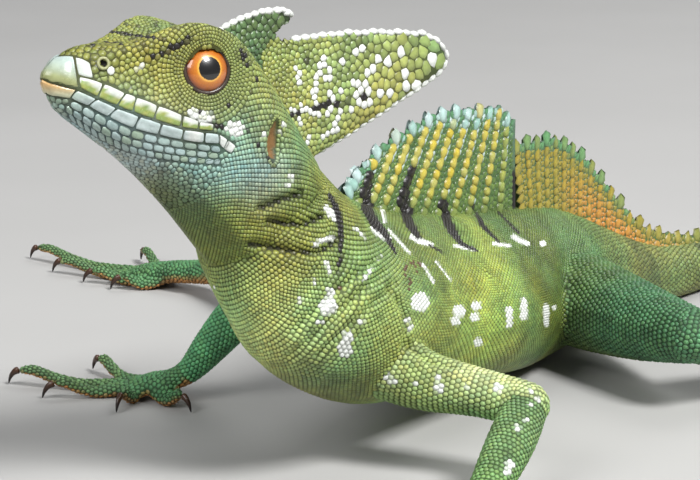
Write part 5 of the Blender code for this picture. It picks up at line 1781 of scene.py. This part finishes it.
coat = []
for name, mine in BODY_COATS.items():
    mine = mine & real
    flat = unwrapped(sites["place"][mine], trunk_line, trunk_rise)
    coat.append(scale_piece(name, mine, flat, "skin_green", sides=6))
head_sites = (site_group == 1) & real
flat = unwrapped(sites["place"][head_sites], head_line, np.tile(UPWARD, (60, 1)))
coat.append(scale_piece("scales_head", head_sites, flat, "skin_green", sides=8, shrink=(0.97, 0.97), keel=0.0,
                        shingle=0.03, shoulder_at=0.86))
for number, name in ((2, "scales_casque"), (3, "scales_front_fin")):
    mine = (site_group == number) & real
    coat.append(scale_piece(name, mine, unwrapped_fin(sites["place"][mine]), "crest_skin", sides=10,
                            shrink=(0.98, 0.98), keel=0.0, shingle=0.03, shoulder_at=0.88, rim_shade=0.22))
for limb in LIMBS:
    mine = on_part(site_parts, *nodes_of(limb)) & real
    line = along(LIMBS[limb], np.arange(0, 7.01, 0.05))[:, 0:3]
    flat = unwrapped(sites["place"][mine], line, np.tile((0, 0, 1.0), (len(line), 1)))
    coat.append(scale_piece("scales_" + limb, mine, flat, "limb_skin", sides=6, keel=0.05, shingle=0.09,
                            shrink=(0.98, 0.97), shoulder_at=0.84))
print(len(coat), "pieces of scales")

# %% The plates of the lips, as mesh


def plate_tints(u, v, finish, number):
    """White wavy tops over green on the upper lip, pale blue on the lower one."""
    wave = 0.5 + 0.13 * np.sin(5.3 * u + 1.7 * number) + 0.05 * np.sin(13 * u + number)
    grain = 0.5 + 0.5 * np.sin(9.7 * u + 3.1 * number) * np.sin(7.9 * v + 2.3 * number)
    if finish.startswith("upper"):
        lower = mix((.18, .27, .09), (.36, .34, .10), grain * 0.7)
        return mix(lower, (.56, .58, .54), np.clip((v - wave) / 0.1, 0, 1))
    if finish.startswith("lower"):
        colour = mix((.42, .51, .49), (.58, .66, .66), grain * 0.8)
        if number == 5:
            colour = mix(colour, "white", np.clip(1.2 - 2.4 * np.abs(u - 0.5), 0, 0.9))
        if number > 6:
            colour = mix(colour, "white", 0.85)
        return mix(colour, (.27, .34, .23), 0.5 * (number == 0) * (1 - u))
    if finish.startswith("chin"):
        draw = np.random.default_rng(100 + number).random(3)
        colour = mix((.22, .31, .30), (.36, .45, .44), grain * 0.5 + 0.5 * draw[0])
        return mix(colour, (.22, .29, .16), 0.6 * draw[1] ** 2)
    if finish.startswith("rostral"):
        colour = mix((.26, .30, .19), (.38, .46, .43), np.clip(v * 1.6 - 0.3, 0, 1))
        return mix(colour, (.27, .28, .10), np.clip(0.8 - 1.9 * v, 0, 1))
    if finish.startswith("mental"):
        return mix("peach", (.50, .52, .36), np.clip(1.2 * v + 0.6 * u - 0.3, 0, 1))
    return np.tile((.54, .58, .53), (len(u), 1))


def plate_mesh(name, chosen):
    laid, numbers, total = [], {}, 0
    grid = grid_faces(len(PLATE_ACROSS), len(PLATE_UP))
    for index, (spots, u, v, finish) in enumerate(chosen):
        number = numbers.get(finish, 0)
        numbers[finish] = number + 1
        shade = np.where((np.abs(u - 0.5) > 0.49) | (np.abs(v - 0.5) > 0.49), 0.3, 1.0)
        seen_u = 1 - u if finish.endswith("twin") else u
        colour = vivid(plate_tints(seen_u, v, finish, number)) * shade[:, None]
        across, up = index % 12, index // 12
        place = np.stack([(across + 0.1 + 0.8 * u) / 12, (up + 0.1 + 0.8 * v) / 12], axis=1)
        laid.append((spots, colour, place, grid + total))
        total += len(spots)
    points, colours, places, faces = (np.concatenate(one) for one in zip(*laid))
    made = mesh_from(name, points, faces)
    paint_points(made, colours)
    flat_map(made, places)
    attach(made, "root")
    return made


def face_outward(made, centre):
    """Turns the mesh's faces so that they look away from a place inside the body, one by one."""
    body = bmesh.new()
    body.from_mesh(made.data)
    inside = Vector(to_world(centre))
    for face in body.faces:
        if face.normal.dot(face.calc_center_median() - inside) < 0:
            face.normal_flip()
    body.to_mesh(made.data)
    body.free()


lip_plates = plate_mesh("lip_plates", plates)
face_outward(lip_plates, in_head(24, 0, 2))
print("lip plates:", len(lip_plates.data.polygons), "faces")

# %% [markdown]
# The crests' scales stand in columns that follow the rays. The column on each ray is tall, raised
# and yellow. Two or three lower green columns cover the skin between two rays. At the back crest's
# edge the scales turn blue-white and stand out as teeth.
# %% Scales of the crests
rng = np.random.default_rng(23)
RAY_PITCH, BETWEEN_PITCH, BETWEEN_RAISE = 3.0, 1.35, 0.14


def crest_scales(name, lines, rays, offsets, length, low_v, ray_raise, tint_of):
    """The columns of scales on both faces of a crest and the teeth along its edge."""
    laid = []
    columns_per_ray = len(offsets)
    count = rays * columns_per_ray
    for column in range(count):
        place_in_ray = column % columns_per_ray
        on_ray = place_in_ray == 0
        s = np.array([(column // columns_per_ray + offsets[place_in_ray]) / rays])
        low, high, side = lines(s)
        height = np.linalg.norm(high - low)
        step = length * (1.3 if on_ray else 0.75)
        rows = max(2, int(height * (1 - low_v) / step))
        for row in range(rows):
            v = low_v + (1 - low_v) * (row + (0.5 if column % 2 else 0.2) + 0.3) / (rows + 0.35)
            v = np.array([min(0.985, v + rng.normal(0, 0.12) * step / height)])
            for face in (1, -1):
                place = blade_point(lines, rays, s, v, face)[0]
                beside = blade_point(lines, rays, np.minimum(s + 0.4 / count, 1), v, face)[0]
                above = blade_point(lines, rays, s, v + 0.03, face)[0]
                way = np.cross(beside - place, above - place)
                way = unit(way * np.sign(way @ (side[0] * face)))
                spread = (0.01 + 0.48 * s[0] + (0.5 if face > 0 else 0), 0.02 + 0.96 * v[0])
                pitch, raise_by = (RAY_PITCH, ray_raise) if on_ray else (BETWEEN_PITCH, BETWEEN_RAISE)
                tint = tint_of(s[0], v[0], on_ray, place)
                laid.append((place, way, high[0] - low[0], pitch, raise_by, tint, spread))
    places, ways, axes, pitches, raised, colours, flat = (np.array(one) for one in zip(*laid))
    made = scale_mesh(name, places, ways, axes, pitches, vivid(colours), flat, sides=8, raised=raised,
                      keel=0.05, shingle=0.08, shrink=(1.02, 0.96), rim_shade=0.4)
    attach(made, "root")
    print(name, len(places), "scales,", len(made.data.polygons), "triangles")
    return made


def dorsal_tint(s, v, on_ray, place):
    draw = rng.random()
    colour = mix((.06, .12, .035), (.13, .21, .05), draw)
    if on_ray:
        colour = mix("yellow", (.38, .38, .12), draw)
        colour = mix(colour, (.22, .28, .08), np.clip((0.34 - v) / 0.2, 0, 1) * 0.9)
        colour = mix(colour, (.20, .28, .08), np.clip((s - 0.82) / 0.14, 0, 0.8))
    elif 0.2 < s * DORSAL_RAYS % 1 < 0.4 and draw > 0.96 - 0.7 * (v > 0.55):
        colour = mix(colour, "blue white", 0.8)
    colour = mix(colour, blended(place[None], "body")[0], np.clip((0.2 - v) / 0.15, 0, 0.8))
    edge = 0.85 - 0.65 * max(0, 1 - s / 0.1)
    tip = np.clip((v - edge + 0.14 * (draw - 0.5)) / 0.06, 0, 1)
    pale = mix("crest blue", "blue white", rng.random())
    colour = mix(colour, pale if on_ray or rng.random() > 0.6 else (.10, .24, .12), tip)
    return mix(colour, "black", covered(place[None], BLACK_MARKS)[0])


def tail_tint(s, v, on_ray, place):
    draw = rng.random()
    colour = mix((.32, .26, .045), (.22, .21, .045), draw)
    colour = mix(colour, "olive", np.clip((0.5 - v) / 0.3, 0, 1) * 0.6)
    colour = mix(colour, "orange", np.clip((s - 0.16) / 0.2, 0, 1) * np.clip((0.8 - v) / 0.4, 0, 0.9))
    colour = mix(colour, (.12, .28, .12), np.clip((v - 0.86) / 0.08, 0, 1))
    colour = mix(colour, (.20, .24, .07), np.clip((s - 0.5) / 0.3, 0, 0.8))
    if on_ray:
        colour = mix(colour, (.42, .31, .05), 0.35 * (1 - s) * (v < 0.86))
    return mix(colour, "black", covered(place[None], BLACK_MARKS)[0])


coat.append(crest_scales("scales_dorsal_crest", dorsal_lines, DORSAL_RAYS, (0.001, 0.29, 0.5, 0.71), 1.95,
                         0.06, 0.55, dorsal_tint))
coat.append(crest_scales("scales_tail_crest", tail_lines, TAIL_RAYS, (0.001, 0.36, 0.64), 1.8,
                         0.08, 0.28, tail_tint))


def blade_tints(blade):
    points = points_of(blade)
    black = covered(points, BLACK_MARKS)
    height = np.clip((points[:, 2] - back_height(points[:, 1])) / 18, 0, 1)
    colour = mix((.10, .17, .05), (.12, .22, .14), height)
    paint_points(blade, mix(colour * 0.75, "black", black))


blade_tints(dorsal_blade)
blade_tints(tail_blade)
print("blades painted")

# %% [markdown]
# White bead scales edge the two fins of the head. They ride on the fins' own edge, end to end, each
# with its length along the edge.
# %% White beads on the edges of the head fins


def bead_mesh(name, places, ways, axes, long, wide, high):
    """Egg-shaped scales set across a thin edge."""
    rows, around = 5, 8
    u, v = grid_of(np.linspace(0, math.pi, rows), turns_of(around))
    egg = np.stack([-np.cos(u), np.sin(u) * np.cos(v), np.sin(u) * np.sin(v)], axis=-1)
    sides = np.cross(ways, axes)
    points = places[:, None]
    for k, way, size in ((0, axes, long), (1, sides, wide), (2, ways, high)):
        points = points + egg[None, :, k:k + 1] * way[:, None] * size / 2
    faces = grid_faces(rows, around, looped=True)[:, [0, 3, 2, 1]]
    all_faces = (np.arange(len(places)) * rows * around)[:, None, None] + faces[None]
    made = mesh_from(name, points.reshape(-1, 3), all_faces.reshape(-1, 4))
    # The part of each bead towards the fin is painted darker, painted shade where the bead sits on the edge.
    shade = np.where(egg[:, 2] < -0.2, 0.5, 1.0)
    tint = np.array(PAINT["white"]) * rng.uniform(0.82, 1.0, (len(places), 1))
    paint_points(made, (tint[:, None] * shade[None, :, None]).reshape(-1, 3))
    flat = np.stack([(np.arange(len(places)) + 0.5) / len(places), np.full(len(places), 0.5)], axis=1)
    flat_map(made, (flat[:, None] + PATCH * egg[None, :, 0:2]).reshape(-1, 2))
    tidied(made, merge=0.001)
    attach(made, "root")
    return made


# Piece, edge, gap, and length, width and height of a bead.
for name, edge, gap, *bead in (("beads_casque", CASQUE_EDGE, 2.5, 2.75, 1.9, 1.7),
                               ("beads_front_fin", FRONT_EDGE, 2.0, 2.2, 1.7, 1.5)):
    coat.append(bead_mesh(name, *bead_line(edge, gap), *bead))
    print(name, len(coat[-1].data.polygons), "faces")

# %% [markdown]
# The eye is a wet ball, set deep. Its surface is one smooth egg with rings of colour painted by the
# distance from the line of gaze: the pupil, a thin gold ring, the orange iris with fine fibres, and
# a black outer rim. A coat over the paint gives the wet highlight.
# %% The eyes
EYE_AROUND, EYE_ROWS = 64, 40
LID_REACH, LID_LIFT, LID_ROLL = 4.62, 0.10, 0.42
NOSTRIL_REACH, NOSTRIL_LIFT, NOSTRIL_ROLL = 1.02, 0.22, 0.3


def number_points(target, name, values):
    target.data.attributes.new(name, "FLOAT", "POINT").data.foreach_set("value", values)


def make_eye(flank, side):
    centre, gaze, back, top = eye_frame(side)
    u, v = grid_of(turns_of(EYE_AROUND), np.linspace(0.0, math.pi, EYE_ROWS))
    points = centre + gaze * (EYE_HALF_DEPTH * np.cos(v))[..., None]
    points = points + back * (EYE_RADIUS * np.sin(v) * np.cos(u))[..., None]
    points = points + top * (EYE_RADIUS * np.sin(v) * np.sin(u))[..., None]
    made = mesh_from("wet_eye_" + flank, points, grid_faces(EYE_AROUND, EYE_ROWS, closed=True))
    gap = points - centre
    ahead = gap @ gaze
    reach = length(gap - ahead[:, None] * gaze)
    reach = np.where(ahead > 0, reach, 2 * EYE_RADIUS - reach)
    number_points(made, "reach", reach)
    number_points(made, "turn", np.abs(np.arctan2(gap @ top, gap @ back)))
    tidied(made, merge=0.001)
    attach(made, "root")
    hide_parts("eye_" + flank)
    return made


wet_eyes = [make_eye(flank, side) for flank, side in EYE_SIDES.items()]


def soft_ring(name, centre, out, back, top, reach, lift, roll):
    """A soft roll of skin round a hole, about a centre, in the plane square to out."""
    around, corners = 72, 10
    u, v = grid_of(turns_of(around), turns_of(corners))
    wide = reach + roll * np.cos(v)
    points = centre + out * (lift + roll * np.sin(v))[..., None] + back * (wide * np.cos(u))[..., None]
    points = points + top * (wide * np.sin(u) * 0.985)[..., None]
    made = mesh_from(name, points, grid_faces(around, corners, closed=True, looped=True))
    tidied(made)
    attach(made, "root")
    return made


def make_lid_edge(flank, side):
    """The bare dark edge of the lids, which hugs the eyeball."""
    centre, gaze, back, top = eye_frame(side)
    depth = EYE_HALF_DEPTH * np.sqrt(1 - (LID_REACH / EYE_RADIUS) ** 2) + LID_LIFT
    return soft_ring("lid_edge_" + flank, centre, gaze, back, top, LID_REACH, depth, LID_ROLL)


def make_nostril_ring(flank, place):
    """The pale raised rim of a nostril."""
    out = on_skin(place[None])[1][0]
    back = unit(BACKWARD - out * (BACKWARD @ out))
    return soft_ring("nostril_ring_" + flank, place, out, back, np.cross(out, back), NOSTRIL_REACH,
                     NOSTRIL_LIFT, NOSTRIL_ROLL)


lid_edges = [make_lid_edge(flank, side) for flank, side in EYE_SIDES.items()]
nostril_rings = [make_nostril_ring(flank, place) for flank, place in zip(EYE_SIDES, nostrils)]
print("eyes:", sum(len(one.data.polygons) for one in wet_eyes), "faces")

# %% [markdown]
# The claws are horn, dark brown and nearly black at the tips. Each solid claw has few faces, so a
# merged copy is subdivided to a smooth hook and takes its place.
# %% The claws
claws = []
for name in [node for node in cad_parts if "claw" in node]:
    claw = copy_of_nodes([name], "horn_" + name)
    apply_modifier(claw, "SUBSURF", levels=2, render_levels=2)
    bpy.ops.object.shade_smooth()
    points = points_of(claw)
    reach = length(points - points[points[:, 2].argmax()])
    number_points(claw, "to_tip", reach / reach.max())
    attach(claw, "root")
    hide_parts(name)
    claws.append(claw)
print(len(claws), "claws")

# %% [markdown]
# One recipe serves all scaled skin: the painted tint, broken up by a fine noise, a little gloss
# that changes from place to place, and a bump as fine as the ridges on a fingernail.
# %% Finishes of skin, scales and plates


def scaled_finish(name, roughness, gloss, grain, bump):
    made, shader = new_material(name)
    place = add_node(shader, "ShaderNodeTexCoord").outputs["Object"]
    tint = add_node(shader, "ShaderNodeAttribute", attribute_name="tint").outputs["Color"]
    cloud = add_noise(shader, place, grain, 3.0)
    cloudy = add_node(shader, "ShaderNodeMapRange", Value=cloud, To_Min=0.72, To_Max=1.28).outputs["Result"]
    shaded = add_node(shader, "ShaderNodeVectorMath", operation="SCALE", input_0=tint, Scale=cloudy)
    low, high = roughness - 0.12, roughness + 0.16
    rough = add_node(shader, "ShaderNodeMapRange", Value=cloud, To_Min=low, To_Max=high)
    fine = add_noise(shader, place, grain * 3.2, 2.0)
    relief = add_node(shader, "ShaderNodeBump", Strength=bump, Distance=0.0002, Height=fine)
    set_up(shader, Base_Color=shaded.outputs["Vector"], Roughness=rough.outputs["Result"],
           Normal=relief.outputs["Normal"], Specular_IOR_Level=gloss)
    return made


# Roughness, gloss, grain and depth of the bump.
body_scales = scaled_finish("body_scales", 0.42, 0.5, 900, 0.35)
limb_scales = scaled_finish("limb_scales", 0.46, 0.45, 900, 0.4)
crest_scale_finish = scaled_finish("crest_scales", 0.36, 0.5, 700, 0.3)
plate_finish = scaled_finish("lip_plates", 0.26, 0.6, 500, 0.15)
under_skin = scaled_finish("under_skin", 0.6, 0.3, 1200, 0.6)
blade_skin = scaled_finish("blade_skin", 0.5, 0.4, 800, 0.5)


def give(material, *pieces):
    for one in pieces:
        one.data.materials.clear()
        one.data.materials.append(material)


give(under_skin, skin)
give(plate_finish, lip_plates)
give(blade_skin, dorsal_blade, tail_blade)
for one in nostril_rings:
    paint_points(one, np.tile(PAINT["nostril rim"], (len(one.data.vertices), 1)))
give(limb_scales, *nostril_rings)
for one in coat:
    on_crest = any(word in one.name for word in ("crest", "casque", "fin"))
    on_leg = "arm" in one.name or "leg" in one.name
    give(crest_scale_finish if on_crest else limb_scales if on_leg else body_scales, one)
print(len(coat), "pieces of coat finished")

# %% Finish of the eye
eye_finish, shader = new_material("wet_eye")
reach = add_node(shader, "ShaderNodeAttribute", attribute_name="reach").outputs["Fac"]
turn = add_node(shader, "ShaderNodeAttribute", attribute_name="turn").outputs["Fac"]
slow = add_math(shader, "MULTIPLY", reach, 0.16)
fibre_place = add_node(shader, "ShaderNodeCombineXYZ", X=turn, Y=slow).outputs["Vector"]
fibres = add_noise(shader, fibre_place, 16.0, 4.0)
wobbled = add_math(shader, "MULTIPLY_ADD", fibres, 0.30, reach)
share = add_math(shader, "DIVIDE", wobbled, EYE_RADIUS)
EYE_RINGS = [
    (0.0, (.0005, .0005, .0005)), (2.2, (.0005, .0005, .0005)), (2.3, (.74, .40, .08)),
    (2.5, (.70, .32, .03)), (2.7, (.52, .17, .010)), (3.7, (.40, .10, .006)), (4.1, (.19, .04, .005)),
    (4.3, (.006, .003, .003))]
stops = [((radius + 0.15) / EYE_RADIUS, colour) for radius, colour in EYE_RINGS]
rings = add_ramp(shader, share, *stops)
streak = add_node(shader, "ShaderNodeMapRange", Value=fibres, To_Min=0.55, To_Max=1.35).outputs["Result"]
iris = add_node(shader, "ShaderNodeVectorMath", operation="SCALE", input_0=rings, Scale=streak)
set_up(shader, Base_Color=iris.outputs["Vector"], Roughness=0.3, Coat_Weight=1.0, Coat_Roughness=0.03)
give(eye_finish, *wet_eyes)
print("eye finish:", len(stops), "rings of colour")

# %% Finish of the lid's edge and of horn
lid_finish, shader = new_material("lid_edge")
place = add_node(shader, "ShaderNodeTexCoord").outputs["Object"]
tone = add_ramp(shader, add_noise(shader, place, 900.0, 3.0), (0, (.012, .008, .006)), (1, (.07, .045, .03)))
set_up(shader, Base_Color=tone, Roughness=0.32)
give(lid_finish, *lid_edges)
horn, shader = new_material("horn")
place = add_node(shader, "ShaderNodeTexCoord").outputs["Object"]
to_tip = add_node(shader, "ShaderNodeAttribute", attribute_name="to_tip").outputs["Fac"]
mixed = add_math(shader, "MULTIPLY_ADD", add_noise(shader, place, 700.0, 4.0), 0.3, to_tip)
tone = add_ramp(shader, mixed, (0.15, (.070, .027, .011)), (0.95, (.006, .003, .002)))
set_up(shader, Base_Color=tone, Roughness=0.3)
give(horn, *claws)
print("horn on", len(claws), "claws")

# %% Handing the pieces to the frame
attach(skin, "root")
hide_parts(*FLESH)
for blade, node in ((dorsal_blade, "dorsal_crest"), (tail_blade, "tail_crest")):
    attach(blade, "root")
    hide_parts(node)
meshes = [one.data for one in bpy.data.objects if one.type == "MESH"]
triangles = sum(len(face.vertices) - 2 for mesh in meshes for face in mesh.polygons)
print(triangles, "triangles in all")
